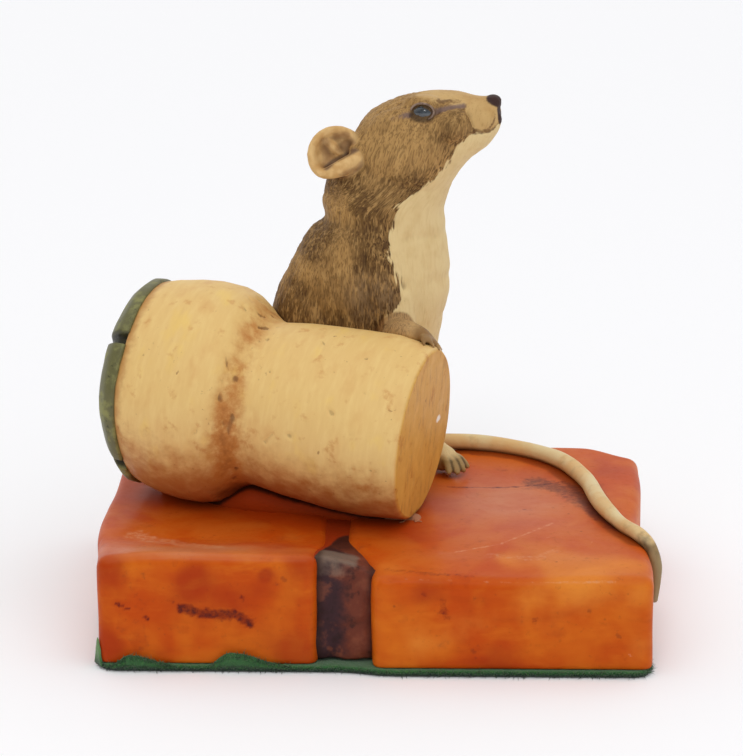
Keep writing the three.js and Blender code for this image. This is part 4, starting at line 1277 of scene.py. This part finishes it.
def cork_skin():
    disc = [(r, 0.0) for r in np.linspace(0.4, 13.0, 30)]
    body = [(float(cork_radius(s)), float(s)) for s in np.linspace(0, CAP_START, 132)]
    skin = Skin([cork_rings(disc + body + [(13.8, CAP_START + 0.4)], 300)])
    local = in_cork(skin.points)
    across, along, up = local.T
    on_disc = fade(along, 0.0, 0.3)
    split = np.maximum(0, noise(skin.points * [1, 1, 0.5], 1.2, 2) - 0.45)
    cracks = bump(along, CORK_WAIST_AT + 1, 2.9) * split
    pits = smooth(noise(skin.points, 1.9, 4), 0.8, 0.93)
    swell = noise(skin.points, 9, 6) * 0.15 + noise(skin.points, 3.5, 8) * 0.06
    worn = swell - cracks * 0.9 - pits * 0.2
    skin.push(worn * (1 - on_disc) + on_disc * noise(skin.points, 2.5, 3) * 0.04)
    # Where the cork comes close to the bricks, for its painted shade
    near_floor = fade(skin.points[:, 2] - BRICK_TOP, 0.2, 1.8)
    fleck = np.hypot((across - 7.4) / 1.1, (up - 0.2) / 0.75) + 0.3 * noise(skin.points, 0.8, 11)
    skin.marks = {
        "disc": on_disc,
        # Wash in the waist, stronger on the underside, where it is partly painted shade
        "groove": bump(along, CORK_WAIST_AT + 1, 2.4) * mixed(1.0, 0.55, smooth(up, -4, 12)),
        "grain": local * [0.22, 1, 0.22] * MM,
        "edge": np.maximum(bump(along, CAP_START, 1.8), 0.35 * bump(along, 0, 1.0)),
        # Painted shade under the waist and where the cork meets the bricks
        "foot": np.maximum(bump(along, CORK_WAIST_AT, 4.5) * smooth(-up, 8.5, 13.2), near_floor),
        "fleck": on_disc * fade(fleck, 0.7, 1.0),
        # Lower side of the cork, where the browner wash is partly painted shade
        "low": fade(in_cork(skin.points)[:, 2], -14, 6),
    }
    skin.mark_hollows(10)
    return skin


def cap_skin():
    sides = 420
    around = np.linspace(0, 2 * math.pi, sides, endpoint=False)
    cut = np.max([bump(around, math.radians(turn), 0.055) for turn in CAP_NOTCHES], axis=0)
    outline = [(13.6, CAP_START + 0.2)]
    outline += [(CAP_RIM + out, CAP_START + ahead) for out, ahead in CAP_RIM_OUTLINE]
    outline += [(radius, CORK_LENGTH - depth) for radius, depth in CAP_SHOULDER]
    outline += [(radius, CORK_LENGTH - 0.02 * radius) for radius in np.linspace(12.6, 0.5, 36)]
    skin = Skin([cork_rings(outline, sides, CAP_NOTCH_DEPTH * smooth(cut, 0.2, 0.6))])
    # Notches in the rim, painted dark as painted shade
    notches = [smooth(cut, 0.1, 0.4) * smooth(radius, 11.5, 13) for radius, _ in outline]
    skin.marks["notch"] = np.append(np.concatenate(notches), [0, 0])
    skin.push(noise(skin.points, 4, 6) * 0.1 + noise(skin.points, 1.5, 8) * 0.05)
    skin.mark_hollows(10)
    return skin


def beside_cork(along, away, lift):
    """A place on the bricks beside the cork's lowest line."""
    place = CORK_AXES @ np.array([-away, along, 0]) + CORK_END
    place[2] = BRICK_TOP + lift
    return place


def glue_skin():
    """The glue under the cork, with its beads in front of the end disc."""
    ridge = [beside_cork(*place) for *place, _ in GLUE_RIDGE]
    forms = [limb(ridge, [radius for *_, radius in GLUE_RIDGE], 60, 20)]
    random = np.random.default_rng(8)
    for _ in range(GLUE_BEADS):
        size = random.uniform(0.16, 0.34)
        place = beside_cork(random.uniform(-0.9, 4.5), random.uniform(1.2, 3.8), 0.1)
        forms.append(egg(place, (size, size, size * 0.8), None, 12, 8))
    skin = Skin(forms, 0.3)
    skin.relax(3)
    across, along, up = in_cork(skin.points).T
    skin.marks["pale"] = fade(along, 2.5, 5.5)
    # Painted shadow on the glue close under the cork
    skin.marks["deep"] = fade(np.hypot(across, up) - cork_radius(along), 0.1, 1.4)
    return skin


def glue_material(settings):
    paint = Paint("cork_glue", specular_ior_level=0.1, roughness=0.6)
    paint.set("Base Color", paint.layers(
        settings.glue,
        # Painted shadow close under the cork
        ("#3c1a0a", paint.ragged("deep", paint.clouds(1.5), 0.5, 0.2, 1.0)),
        ("#c98a66", paint.ragged("pale", paint.clouds(0.8, 3), 1.4, 0.3, 0.9) * 0.7),
    ))
    paint.relief(paint.clouds(0.5, 3), 0.12, 0.5)
    return paint.material


def cork_material(settings):
    paint = Paint("cork", specular_ior_level=0.25)
    grain = paint.mark("grain", "Vector")
    streaks = paint.clouds(0.9, 4, 0.6, grain)
    broad = paint.clouds(4.5, 3, 0.55, paint.stretched(grain, (2.6, 1.0, 2.6)))
    blots = paint.clouds(2.6, 4, 0.6)
    sawn = paint.clouds(1.1, 4, 0.7, paint.stretched(paint.place(), (1.0, 1.0, 0.28)))
    groove = paint.mark("groove") * (0.85 + (paint.clouds(2.2, 4, 0.65) - 0.5) * 2.4)
    specks = paint.step(paint.clouds(0.8, 2, 0.5), 0.67, 0.76) * paint.step(paint.clouds(6), 0.5, 0.62)
    disc = paint.layers(
        settings.disc,
        ("#9a6430", paint.step(sawn, 0.48, 0.7) * 0.45),
        ("#e4b254", paint.step(1 - blots, 0.5, 0.7) * 0.4),
        ("#b46c22", paint.step(blots, 0.58, 0.7) * 0.5),
    )
    paint.set("Base Color", paint.layers(
        settings.body,
        ("#efd48f", paint.step(streaks, 0.42, 0.7) * 0.25),
        ("#ecc765", paint.step(broad, 0.56, 0.72) * 0.4),
        ("#d39c5c", paint.step(1 - broad, 0.52, 0.72) * 0.45),
        ("#cc9152", paint.step(blots, 0.58, 0.72) * 0.6),
        ("#b98448", paint.step(1 - streaks, 0.58, 0.78) * 0.12),
        # Browner underside: partly a wash, partly painted shade
        (settings.low, paint.ragged("low", blots, 1.0, 0.25, 1.05) * 0.9),
        # Wash in the waist, partly painted shade on the underside
        (settings.groove, paint.step(groove, 0.1, 0.85) * 0.85),
        ("#7d441c", paint.step(groove, 0.7, 1.2) * 0.4),
        ("#a8662c", paint.ragged("edge", paint.clouds(1.5, 3), 0.9, 0.3, 1.1) * 0.65),
        (disc, paint.mark("disc")),
        ("#f4efe4", paint.mark("fleck")),
        ("#8a4f28", specks * 0.6),
        (settings.pit, paint.step(paint.mark("hollow"), 0.04, 0.18) * 0.6),
        # Painted shade under the cork's waist and along the bricks
        ("#5a2c12", paint.ragged("foot", paint.clouds(1.6, 3), 0.8, 0.25, 1.0) * 0.85),
    ))
    paint.set("Roughness", 0.5 + 0.2 * (blots - 0.5))
    paint.relief(streaks * 0.2 + broad * 0.5 + paint.clouds(0.7, 3, 0.6) * 0.3, 0.14, 0.5)
    return paint.material


def cap_material(settings):
    paint = Paint("cork_cap", specular_ior_level=0.4)
    patch = paint.step(paint.clouds(2.6, 4, 0.6), 0.45, 0.65)
    paint.set("Base Color", paint.layers(
        settings.cap,
        (settings.cap_patch, patch),
        ("#2d2a1c", paint.step(paint.clouds(1.0, 3), 0.6, 0.72) * 0.7),
        ("#2d2a1c", paint.step(paint.mark("hollow"), 0.04, 0.2) * 0.5),
        # Painted shade in the notches
        ("#1c1710", paint.mark("notch") * 0.85),
    ))
    paint.set("Roughness", 0.4 + 0.2 * patch)
    paint.relief(paint.clouds(0.9, 3), 0.15, 0.5)
    return paint.material


def drawn(points, strokes):
    """Marks of strokes, from 0 to 1, each with its course, width and strength."""
    ragged = 1 + 0.35 * noise(points, 0.9, 61)
    return np.max([
        strength * fade(near_line(points, course) * ragged, width * 0.3, width)
        for course, width, strength in strokes
    ], axis=0)


def worn_brick(x0, x1, front, narrowing, depth, seed, scars):
    """One brick with its pits, and with the marks of its scratches, wear, dirt and patches, of its painted
    highlights on the tops and the arris, and of its painted shade under the cork and beside the tail.
    """
    skin = Skin([brick(x0, x1, front, narrowing)])
    x, y, z = skin.points.T
    top = smooth(z - top_height(x, y), -1.3, -0.2)
    # Pale chips, with painted highlights along the front arris and on the lips
    scar, chip = drawn(skin.points, scars), drawn(skin.points, CHIPS_AND_HIGHLIGHTS)
    scuff = top * fade(np.abs(np.hypot((x - 29.4) / 3.7, (y + 14.5) / 2.6) - 1), 0.03, 0.12)
    tail_line = [(RIGHT - inset, BACK - setback, BRICK_TOP) for inset, setback, _ in TAIL_COURSE]
    # Painted brown shade on the brick top beside the tail
    shade_beside_tail = top * stroke(skin.points, tail_line, 1.6, 3.2)
    tail_dirt = top * stroke(skin.points, TAIL_SMEAR, 0.6, 3.8)
    # The brick top under the cork, painted darker red as painted shade
    off_cork = np.abs(y - CORK_END[1] + (x - CORK_END[0]) * UNDER_CORK_SLANT)
    shade_under_cork = top * fade(off_cork, 7, 13.5) * fade(x, 5, 9)
    low = noise(skin.points, 13, seed) * 0.2 + noise(skin.points, 5.5, seed + 1) * 0.1
    pits = smooth(noise(skin.points, 2.3, seed + 3), 0.74, 0.9) * depth
    relief = low - pits * (1 - 0.6 * top) - scar * 0.08 + scuff * 0.05
    skin.push(relief * smooth(z, BRICK_BOTTOM, BRICK_BOTTOM + 1.5))
    # Pink patches on the right top and on the left brick's lip: partly wear, partly painted highlight
    pink = top * np.exp(-(((x - 21) / 10) ** 2 + ((y - 3) / 12) ** 2))
    pink += top * 1.5 * np.exp(-(((x + 27) / 11) ** 2 + ((y + 24) / 4.5) ** 2))
    tint = 0.25 * noise(skin.points, 5, seed + 6)
    for *place, radius, amount in TINTS:
        tint += amount * np.exp(-((skin.points - place) ** 2).sum(1) / radius**2)
    skin.marks = {
        "tint": tint, "pink": pink, "top": top, "scar": scar, "chip": np.maximum(chip, 0.5 * scuff),
        "grime": tail_dirt, "under": shade_under_cork, "beside": shade_beside_tail,
    }
    skin.mark_hollows(10)
    skin.relax(6)
    return skin


def mortar_skin():
    width = JOINT_WIDTH + 4 * BRICK_ROUNDING
    depth = BACK - LEFT_FRONT - 2 * JOINT_RECESS
    half = np.array([width / 2, depth / 2, BRICK_HEIGHT / 2 - 0.3])
    middle = np.array([JOINT_X, (BACK + LEFT_FRONT) / 2, (BRICK_BOTTOM + BRICK_TOP) / 2 - 0.3])
    skin = Skin([block([60, 150, 54], half, middle, 0.5)])
    x, y, z = skin.points.T
    front = fade(y, LEFT_FRONT + 2, LEFT_FRONT + 5)
    crumbs = noise(skin.points, 2.6, 31) * 0.45 + noise(skin.points, 1.1, 33) * 0.15
    skin.push(crumbs * (0.15 + 0.85 * front))
    top = smooth(z, BRICK_TOP - 4, BRICK_TOP - 0.6)
    bowed = np.maximum(0, 1 - ((x - JOINT_X) / (JOINT_WIDTH * 0.62)) ** 2)
    across = smooth(x, JOINT_X - JOINT_WIDTH / 2, JOINT_X + JOINT_WIDTH / 2)
    left, right = (top_height(np.full(len(y), JOINT_X + side), y) for side in (-0.1, 0.1))
    pointed = y + 1.2 * ((x - JOINT_X) / 1.3) ** 2
    covered = fade(y, 20, 24)
    skin.marks["filled"] = smooth(pointed, -14, -9) * covered * top
    level = mixed(left, right, across) - BRICK_TOP + 0.3 * bowed * front + 0.1
    skin.points[:, 2] += top * mixed(-0.15, level, covered)
    skin.points[:, 1] -= 0.7 * bowed * fade(y, LEFT_FRONT + 1, LEFT_FRONT + 3)
    skin.points[:, 2] = np.maximum(skin.points[:, 2], BRICK_BOTTOM)
    skin.mark_hollows(10)
    mark_mortar(skin)
    return skin


def mark_mortar(skin):
    """Marks the joint's painted highlight on its front bevel, its redder right half, its painted shade
    inside and its dark rims.
    """
    x, y, z = skin.points.T
    ahead = smooth(y, LEFT_FRONT, LEFT_FRONT + 2.4) * fade(y, LEFT_FRONT + 6, LEFT_FRONT + 10)
    high = smooth(z, BRICK_TOP - 2.2, BRICK_TOP - 0.6)
    skin.marks |= {
        "dust": high * ahead * fade(x, JOINT_X + 1, JOINT_X + 3),
        "right": smooth(x, JOINT_X - 3.0, JOINT_X + 2.4),
        "inside": smooth(y, LEFT_FRONT + 6, LEFT_FRONT + 12) * fade(y, 20, 25),
        "rim": smooth(np.abs(x - JOINT_X), JOINT_WIDTH / 2 - 1.2, JOINT_WIDTH / 2),
    }


def brick_material(settings, name, seed):
    paint = Paint(name, specular_ior_level=0.1, coat_roughness=0.2, coat_ior=1.4)
    shift = {0: paint.place(), 1: (seed, seed * 0.7, 0.0)}
    at = paint.node("ShaderNodeVectorMath", {"operation": "ADD"}, shift)
    clouds = paint.clouds(9, 3, 0.5, at, 0.5)
    streaks = paint.clouds(3.4, 4, 0.6, paint.stretched(at, (0.35, 0.35, 1.2)), 0.3)
    blots = paint.clouds(4.2, 3, 0.55, at)
    fine = paint.clouds(0.9, 3, 0.65, at)
    top, pink = paint.mark("top"), paint.mark("pink")
    tint = paint.mark("tint") + (blots - 0.5) * 0.8
    grime = paint.mark("grime") + (blots - 0.5) * 1.1 + (fine - 0.5) * 1.6
    dots = 1 - paint.step(paint.cells(3.1, at), 0.03, 0.1)
    paint.set("Base Color", paint.layers(
        settings.face,
        (settings.patch, paint.step(clouds, 0.34, 0.7)),
        ("#e0801f", paint.step(streaks, 0.5, 0.8) * 0.4),
        ("#983004", paint.step(1 - streaks, 0.5, 0.78) * 0.3),
        ("#a53206", paint.step(blots, 0.58, 0.72) * 0.3),
        # Paler tints on the tops' front edges are partly painted highlight, and redder ones next to the
        # cork are partly painted shade
        ("#ea9538", paint.step(tint, 0.05, 1.2) * 0.7),
        ("#982206", paint.step(tint * -1.0, 0.1, 0.9) * 0.55),
        # Paler tops: partly wear, partly painted sheen
        (settings.top, top * (0.15 + 0.35 * paint.step(clouds, 0.4, 0.65))),
        # Pink patches: partly wear, partly painted highlight
        ("#c9784c", pink * (0.5 + 0.4 * paint.step(streaks, 0.4, 0.6))),
        # Painted shade on the brick top under the cork
        ("#b03a0a", paint.mark("under") * 0.7),
        ("#701c0c", paint.ragged("scar", fine, 1.4, 0.1, 0.9) * 0.75),
        ("#3c161a", paint.ragged("scar", fine, 2.4, 0.7, 1.3) * 0.7),
        # Painted shade beside the tail
        ("#7a3010", paint.ragged("beside", blots, 0.8, 0.1, 1.0) * 0.7),
        (settings.dirt, paint.step(grime, 0.15, 1.25) * 0.66),
        # Pale chips, and painted highlights along the arris and on the lips
        ("#e0a880", paint.ragged("chip", fine, 0.8, 0.4, 0.9) * 0.6),
        ("#6a2414", paint.step(paint.mark("hollow"), 0.05, 0.2) * 0.4),
        ("#6a2414", dots * paint.step(clouds, 0.5, 0.6) * 0.45),
    ))
    paint.set("Roughness", 0.45 + 0.2 * (fine - 0.5))
    paint.set("Coat Weight", 0.03 + 0.08 * top + 0.22 * pink)
    paint.relief(clouds * 0.3 + streaks * 0.5 + fine * 0.12, 0.22, 0.35)
    return paint.material


def mortar_material(settings):
    paint = Paint("mortar", specular_ior_level=0.2, roughness=0.6)
    clouds = paint.clouds(2.8, 4, 0.6)
    paint.set("Base Color", paint.layers(
        settings.dirt,
        (settings.mortar, paint.ragged("right", clouds, 1.4, 0.1, 0.9)),
        ("#8a4c34", paint.step(clouds, 0.5, 0.68) * 0.5),
        ("#2a1814", paint.step(1 - clouds, 0.55, 0.7) * 0.6),
        # Painted highlight on the joint's front bevel
        (settings.mortar_grey, paint.ragged("dust", clouds, 1.0, 0.3, 0.9) * 0.75),
        ("#2a1512", paint.mark("rim") * 0.7),
        ("#4a2416", paint.mark("inside") * 0.7),
        ("#9c340c", paint.ragged("filled", clouds, 0.6, 0.3, 0.8)),
        ("#241410", paint.step(paint.mark("hollow"), 0.03, 0.2) * 0.6),
    ))
    paint.relief(clouds * 0.5 + paint.clouds(0.7, 3, 0.6) * 0.3, 0.2, 0.6)
    return paint.material


def felt_edge(count):
    """The felt's outline seen from above, as evenly spaced places."""
    front = FRONT - FELT_PROUD
    left_front = front + 1.5
    width = RIGHT - FELT_INSET
    narrow = width - SIDE_WEAR
    depth = BACK - FELT_INSET
    back = depth - CORNER_WEAR / 2
    corners = [
        (-width, left_front + 2.2), (-width + 0.6, left_front + 0.6), (-width + 2.2, left_front),
        (-11, left_front), (-5, left_front - 0.1), (-3, left_front - 0.4), (-1, front + 0.6),
        (1, front + 0.1), (3, front), (20, front), (width - 2.2, front), (width - 0.6, front + 0.6),
        (width, front + 2.2), (narrow, 0), (narrow, back - 2.2), (narrow - 1.2, back - 0.6),
        (width - 6.6, back), (width / 2, depth), (-width / 2, depth), (-width + 6.6, back),
        (-narrow + 1.2, back - 0.6), (-narrow, back - 2.2), (-narrow, 0),
    ]
    ring = np.array(corners + corners[:1], float)
    steps = np.concatenate([[0], np.cumsum(np.linalg.norm(np.diff(ring, axis=0), axis=1))])
    at = np.linspace(0, steps[-1], count, endpoint=False)
    return np.stack([np.interp(at, steps, ring[:, 0]), np.interp(at, steps, ring[:, 1])], 1)


def felt_form():
    edge = felt_edge(720)
    thick = np.full(len(edge), FELT_THICKNESS)
    return skinned([np.column_stack([edge * share, thick * height]) for share, height in FELT_PROFILE])


def lap_height(share, peak):
    """The rise of a lap along its length, as a share of its height."""
    return np.where(share < peak, smooth(share, -0.15, peak), 1 - 0.75 * smooth(share, peak, 1.1))


def lap_form(x0, long, height, peak, y):
    """A flap of felt that stands up the front face."""
    foot = FELT_THICKNESS * 0.4
    rings = []
    for share in np.linspace(0, 1, 60):
        top = max(FELT_THICKNESS * 0.9, lap_height(share, peak) * height)
        profile = [
            (0, foot), (-0.3, foot), (-0.4, top * 0.55), (-0.35, top * 0.9), (-0.2, top),
            (-0.05, top * 0.95), (0, top * 0.6),
        ]
        rings.append([(x0 + share * long, y + dy, z) for dy, z in profile])
    return skinned(rings)


def felt_skin():
    forms = [felt_form()] + [lap_form(*lap, LEFT_FRONT - GAP) for lap in LAPS]
    corner = np.array([-RIGHT + BRICK_ROUNDING + 0.3, LEFT_FRONT + BRICK_ROUNDING, 0])
    points, faces = lap_form(*CURL, -BRICK_ROUNDING - GAP)
    forms.append((turned(points, spin(0, 0, CURL_TURN), corner), faces))
    skin = Skin(forms)
    skin.push(noise(skin.points, 0.7, 41) * 0.1 * smooth(skin.points[:, 2], 0.02, 0.3))
    skin.points[:, 2] = np.maximum(skin.points[:, 2], 0)
    return skin


def felt_fibres(count, fibre):
    """Short hairs that stand out of the felt's edge."""
    random = np.random.default_rng(5)
    edge = felt_edge(count)
    outward = np.roll(edge, 1, axis=0) - np.roll(edge, -1, axis=0)
    outward = np.stack([-outward[:, 1], outward[:, 0]], 1) / np.linalg.norm(outward, axis=1)[:, None]
    roots = np.column_stack([edge, random.uniform(0.15, FELT_THICKNESS, count)])
    ahead = np.column_stack([outward, random.uniform(-0.25, 0.8, count)])
    return hairs_from(roots, ahead, fibre, random)


def lap_fibres(count, fibre):
    """Short hairs along the laps on the left brick's front."""
    random = np.random.default_rng(6)
    share = random.uniform(0, 1, count)
    x0, long, height, peak = np.array(LAPS)[np.arange(count) % len(LAPS)].T
    rise = lap_height(share, peak) * height
    y = np.full(count, LEFT_FRONT - GAP - 0.3)
    roots = np.column_stack([x0 + long * share, y, np.maximum(rise * random.uniform(0.6, 1, count), 0.8)])
    ahead = np.column_stack([np.zeros(count), np.full(count, -0.5), random.uniform(0.2, 1, count)])
    return hairs_from(roots, ahead, fibre, random)


def hairs_from(roots, ahead, fibre, random):
    """Thin tapering hairs that start at the roots."""
    count = len(roots)
    ahead = ahead + random.normal(0, 0.35, (count, 3))
    tips = roots + ahead * (fibre * random.uniform(0.4, 1.2, count))[:, None]
    tips[:, 2] = np.maximum(tips[:, 2], 0.02)
    points, faces = [], []
    for root, tip in zip(roots, tips):
        along = tip - root
        across = np.cross(along, [0.3, 0.2, 1.0])
        across *= FIBRE_RADIUS / np.linalg.norm(across)
        over = np.cross(across, along)
        over *= FIBRE_RADIUS / np.linalg.norm(over)
        first = len(points)
        points += [root + across, root - across * 0.5 + over, root - across * 0.5 - over, tip]
        faces += [[first, first + 1, first + 2], [first, first + 3, first + 1]]
        faces += [[first + 1, first + 3, first + 2], [first + 2, first + 3, first]]
    return np.array(points), faces


def felt_material(settings):
    paint = Paint("felt", sheen_weight=0.3, sheen_roughness=0.6, specular_ior_level=0.1, roughness=0.95)
    fibres = paint.clouds(0.35, 3, 0.7, warp=1.5)
    paint.set("Base Color", paint.layers(
        settings.felt_dark,
        (settings.felt, paint.ragged("high", fibres, 0.8, 0.0, 0.7)),
        ("#6f9c50", paint.step(fibres, 0.5, 0.7) * 0.4),
        # Painted highlight on the curl
        ("#86a868", paint.mark("curl") * 0.55),
    ))
    paint.relief(fibres, 0.2, 0.9)
    return paint.material


def eye_place(side, proud):
    """A place on the line that an eye looks along."""
    return (np.array(EYE_AT) + np.array(EYE_OUT) * proud) * [1, side, 1]


def eye_form(side):
    return egg(eye_place(side, 0.55), (1.6, 1.0, 1.12), spin(0, -EYE_TILT, 0), 48, 32)


def lid_form(side):
    """The rim of an eye's opening, as a thin ring that bends round the eye."""
    count, sides = 12, 60
    tilt = spin(0, -EYE_TILT, 0)
    around = np.linspace(0, 2 * math.pi, sides, endpoint=False)
    opening = np.stack([1.86 * np.cos(around), np.zeros(sides), 1.32 * np.sin(around)], 1)
    outward = opening @ tilt.T
    outward /= np.linalg.norm(outward, axis=1)[:, None]
    opening[:, 1] = -side * 0.28 * np.abs(np.cos(around)) ** 2
    ring = turned(opening, tilt, eye_place(side, 1.12))
    forward = np.array([0, side, 0])
    rings = [
        ring + outward * 0.17 * math.cos(angle) + forward * 0.2 * math.sin(angle)
        for angle in np.linspace(0, 2 * math.pi, count, endpoint=False)
    ]
    faces = []
    for a, c in itertools.product(range(count), range(sides)):
        b, d = (a + 1) % count, (c + 1) % sides
        faces.append([a * sides + c, b * sides + c, b * sides + d, a * sides + d])
    return np.vstack(rings), flipped(faces, side < 0)


def lid_material():
    paint = Paint("mouse_lids", specular_ior_level=0.4, roughness=0.45)
    tone = paint.step(paint.clouds(0.8, 3), 0.4, 0.65)
    paint.set("Base Color", paint.mix(tone, "#927a6a", "#6c5444"))
    return paint.material


def eye_material(settings):
    paint = Paint("mouse_eye", specular_ior_level=0.6, coat_weight=1.0, coat_roughness=0.05, roughness=0.25)
    tone = paint.step(paint.clouds(1.2), 0.4, 0.7)
    paint.set("Base Color", paint.mix(tone, settings.iris, "#434b52"))
    return paint.material


class MouseOperator(bpy.types.Operator):
    """Build the mouse's coat, tail, lids and eyes"""

    bl_idname = "figurine.mouse"
    bl_label = "Mouse"

    def execute(self, context):
        settings = context.scene.figurine_mouse
        skin = coat_skin(settings.skin_cell / MM)
        mark_coat(skin)
        carve_coat(skin, settings.tuft_size / MM, settings.tuft_depth / MM)
        skin.mark_hollows(14)
        skin.points = clear_of_base(skin.points)
        skin.piece("mouse_coat", "mouse", "mouse", Coat(settings).painted())
        tail_skin().piece("mouse_tail", "mouse", "mouse", tail_material(settings))
        eyes = eye_material(settings)
        for name, forms, material in (
            ("mouse_lids", [lid_form(side) for side in (-1, 1)], lid_material()),
            ("mouse_right_eye", [eye_form(-1)], eyes),
            ("mouse_left_eye", [eye_form(1)], eyes),
        ):
            part = Skin(forms)
            part.points = out_of_head(part.points)
            part.piece(name, "mouse", "mouse", material)
        return {"FINISHED"}


class CorkOperator(bpy.types.Operator):
    """Build the champagne cork and its painted cap"""

    bl_idname = "figurine.cork"
    bl_label = "Champagne cork"

    def execute(self, context):
        settings = context.scene.figurine_cork
        cork_skin().piece("cork_body", "champagne_cork", "cork", cork_material(settings))
        cap_skin().piece("cork_cap", "champagne_cork", "cork", cap_material(settings))
        glue_skin().piece("cork_glue", "champagne_cork", "cork", glue_material(settings))
        return {"FINISHED"}


class BricksOperator(bpy.types.Operator):
    """Build the two bricks and the mortar between them"""

    bl_idname = "figurine.bricks"
    bl_label = "Bricks and mortar"

    def execute(self, context):
        settings = context.scene.figurine_bricks
        depth = settings.chip_depth / MM
        joint_left, joint_right = JOINT_X - JOINT_WIDTH / 2, JOINT_X + JOINT_WIDTH / 2
        left = worn_brick(-RIGHT, joint_left, LEFT_FRONT, JOINT_NARROWING / 3, depth, 21, LEFT_SCARS)
        left.piece("left_brick", "brick_base", "brick", brick_material(settings, "left_brick", 0.03))
        right = worn_brick(joint_right, RIGHT, FRONT, JOINT_NARROWING, depth, 25, RIGHT_SCARS)
        right.piece("right_brick", "brick_base", "brick", brick_material(settings, "right_brick", 0.0))
        mortar_skin().piece("mortar_joint", "brick_base", "brick", mortar_material(settings))
        return {"FINISHED"}


class FeltOperator(bpy.types.Operator):
    """Build the felt pad and its laps"""

    bl_idname = "figurine.felt"
    bl_label = "Felt"

    def execute(self, context):
        settings = context.scene.figurine_felt
        skin, felt = felt_skin(), felt_material(settings)
        fibre = settings.fibre / MM
        hairs = Skin([felt_fibres(EDGE_HAIRS, fibre), lap_fibres(LAP_HAIRS, fibre)])
        for part in (skin, hairs):
            x, _, z = part.points.T
            # The curl's lighter green is a painted highlight
            part.marks = {"high": smooth(z, 0.1, 1.3), "curl": bump(x, -RIGHT, 2.2) * smooth(z, 1.2, 3)}
        skin.piece("felt_sheet", "felt_pad", "felt", felt, cloth=True)
        hairs.piece("felt_fibres", "felt_pad", "felt", felt, cloth=True)
        return {"FINISHED"}


class StageOperator(bpy.types.Operator):
    """Set the floor, the soft lights and the camera"""

    bl_idname = "figurine.stage"
    bl_label = "Stage"

    def execute(self, context):
        settings = context.scene.figurine_stage
        for name in ("Cube", "Light", "Camera"):
            if name in bpy.data.objects:
                bpy.data.objects.remove(bpy.data.objects[name])
        mesh = bpy.data.meshes.new("floor")
        corners = [(x * FLOOR_HALF, y * FLOOR_HALF, 0) for x, y in ((-1, -1), (1, -1), (1, 1), (-1, 1))]
        mesh.from_pydata(corners, [], [[0, 1, 2, 3]])
        paint = Paint("floor", roughness=0.9, specular_ior_level=0.0)
        paint.set("Base Color", tuple(settings.floor))
        mesh.materials.append(paint.material)
        floor = bpy.data.objects.new("floor", mesh)
        context.collection.objects.link(floor)
        sun = bpy.data.lights.new("main_light", "SUN")
        sun.angle = SUN_SPREAD
        sun.energy = settings.sun
        self.hang(context, sun, SUN_AT).visible_glossy = False
        window = bpy.data.lights.new("window", "AREA")
        window.size = WINDOW_SIZE
        window.energy = settings.window
        self.hang(context, window, WINDOW_AT)
        self.studio(context, settings)
        context.scene.view_settings.view_transform = "Standard"
        self.camera(context)
        return {"FINISHED"}

    def hang(self, context, lamp, place):
        holder = bpy.data.objects.new(lamp.name, lamp)
        holder.location = place
        holder.rotation_euler = (Vector(LAMP_TARGET) - Vector(place)).to_track_quat("-Z", "Y").to_euler()
        context.collection.objects.link(holder)
        return holder

    def studio(self, context, settings):
        """Surrounds the object with a soft studio that is brighter behind it than behind the camera."""
        world = bpy.data.worlds.new("studio")
        context.scene.world = world
        world.use_nodes = True
        nodes = Nodes(world.node_tree)
        direction = nodes.node("ShaderNodeTexCoord", output="Generated")
        behind = nodes.node("ShaderNodeSeparateXYZ", inputs={0: direction}, output=1)
        light = settings.dim + nodes.step(behind, -0.7, 0.5) * (settings.bright - settings.dim)
        shine = nodes.node("ShaderNodeBackground", inputs={"Color": (1, 1, 1, 1), "Strength": light})
        nodes.node("ShaderNodeOutputWorld", inputs={"Surface": shine})

    def camera(self, context):
        turn, height = math.radians(CAMERA_AZIMUTH), math.radians(CAMERA_ELEVATION)
        aim = Vector(CAMERA_TARGET) * MM
        level = math.cos(height)
        back = Vector((math.sin(turn) * level, -math.cos(turn) * level, math.sin(height)))
        view = bpy.data.cameras.new("camera")
        view.lens = CAMERA_LENS
        view.sensor_width = FILM_WIDTH
        view.clip_start = NEAREST_SEEN
        holder = bpy.data.objects.new("camera", view)
        holder.location = aim + back * CAMERA_DISTANCE * MM
        holder.rotation_euler = (-back).to_track_quat("-Z", "Y").to_euler()
        context.collection.objects.link(holder)
        context.scene.camera = holder


class FigurinePanel(bpy.types.Panel):
    """Lists the figurine's pieces with their sizes and colours"""

    bl_idname = "VIEW3D_PT_figurine"
    bl_label = "Mouse figurine"
    bl_space_type = "VIEW_3D"
    bl_region_type = "UI"
    bl_category = "Mouse Figurine"

    def draw(self, context):
        for operator, group, _ in STEPS:
            box = self.layout.box()
            box.operator(operator.bl_idname)
            settings = getattr(context.scene, group)
            for name in settings.__annotations__:
                box.prop(settings, name)


STEPS = [
    (BricksOperator, "figurine_bricks", BrickSettings),
    (FeltOperator, "figurine_felt", FeltSettings),
    (CorkOperator, "figurine_cork", CorkSettings),
    (MouseOperator, "figurine_mouse", MouseSettings),
    (StageOperator, "figurine_stage", StageSettings),
]


def register():
    for operator, name, group in STEPS:
        bpy.utils.register_class(group)
        setattr(bpy.types.Scene, name, PointerProperty(type=group))
        bpy.utils.register_class(operator)
    bpy.utils.register_class(FigurinePanel)


def unregister():
    bpy.utils.unregister_class(FigurinePanel)
    for operator, name, group in reversed(STEPS):
        bpy.utils.unregister_class(operator)
        delattr(bpy.types.Scene, name)
        bpy.utils.unregister_class(group)


def main():
    register()
    bpy.ops.figurine.bricks()
    bpy.ops.figurine.felt()
    bpy.ops.figurine.cork()
    bpy.ops.figurine.mouse()
    bpy.ops.figurine.stage()


if __name__ == "__main__":
    main()
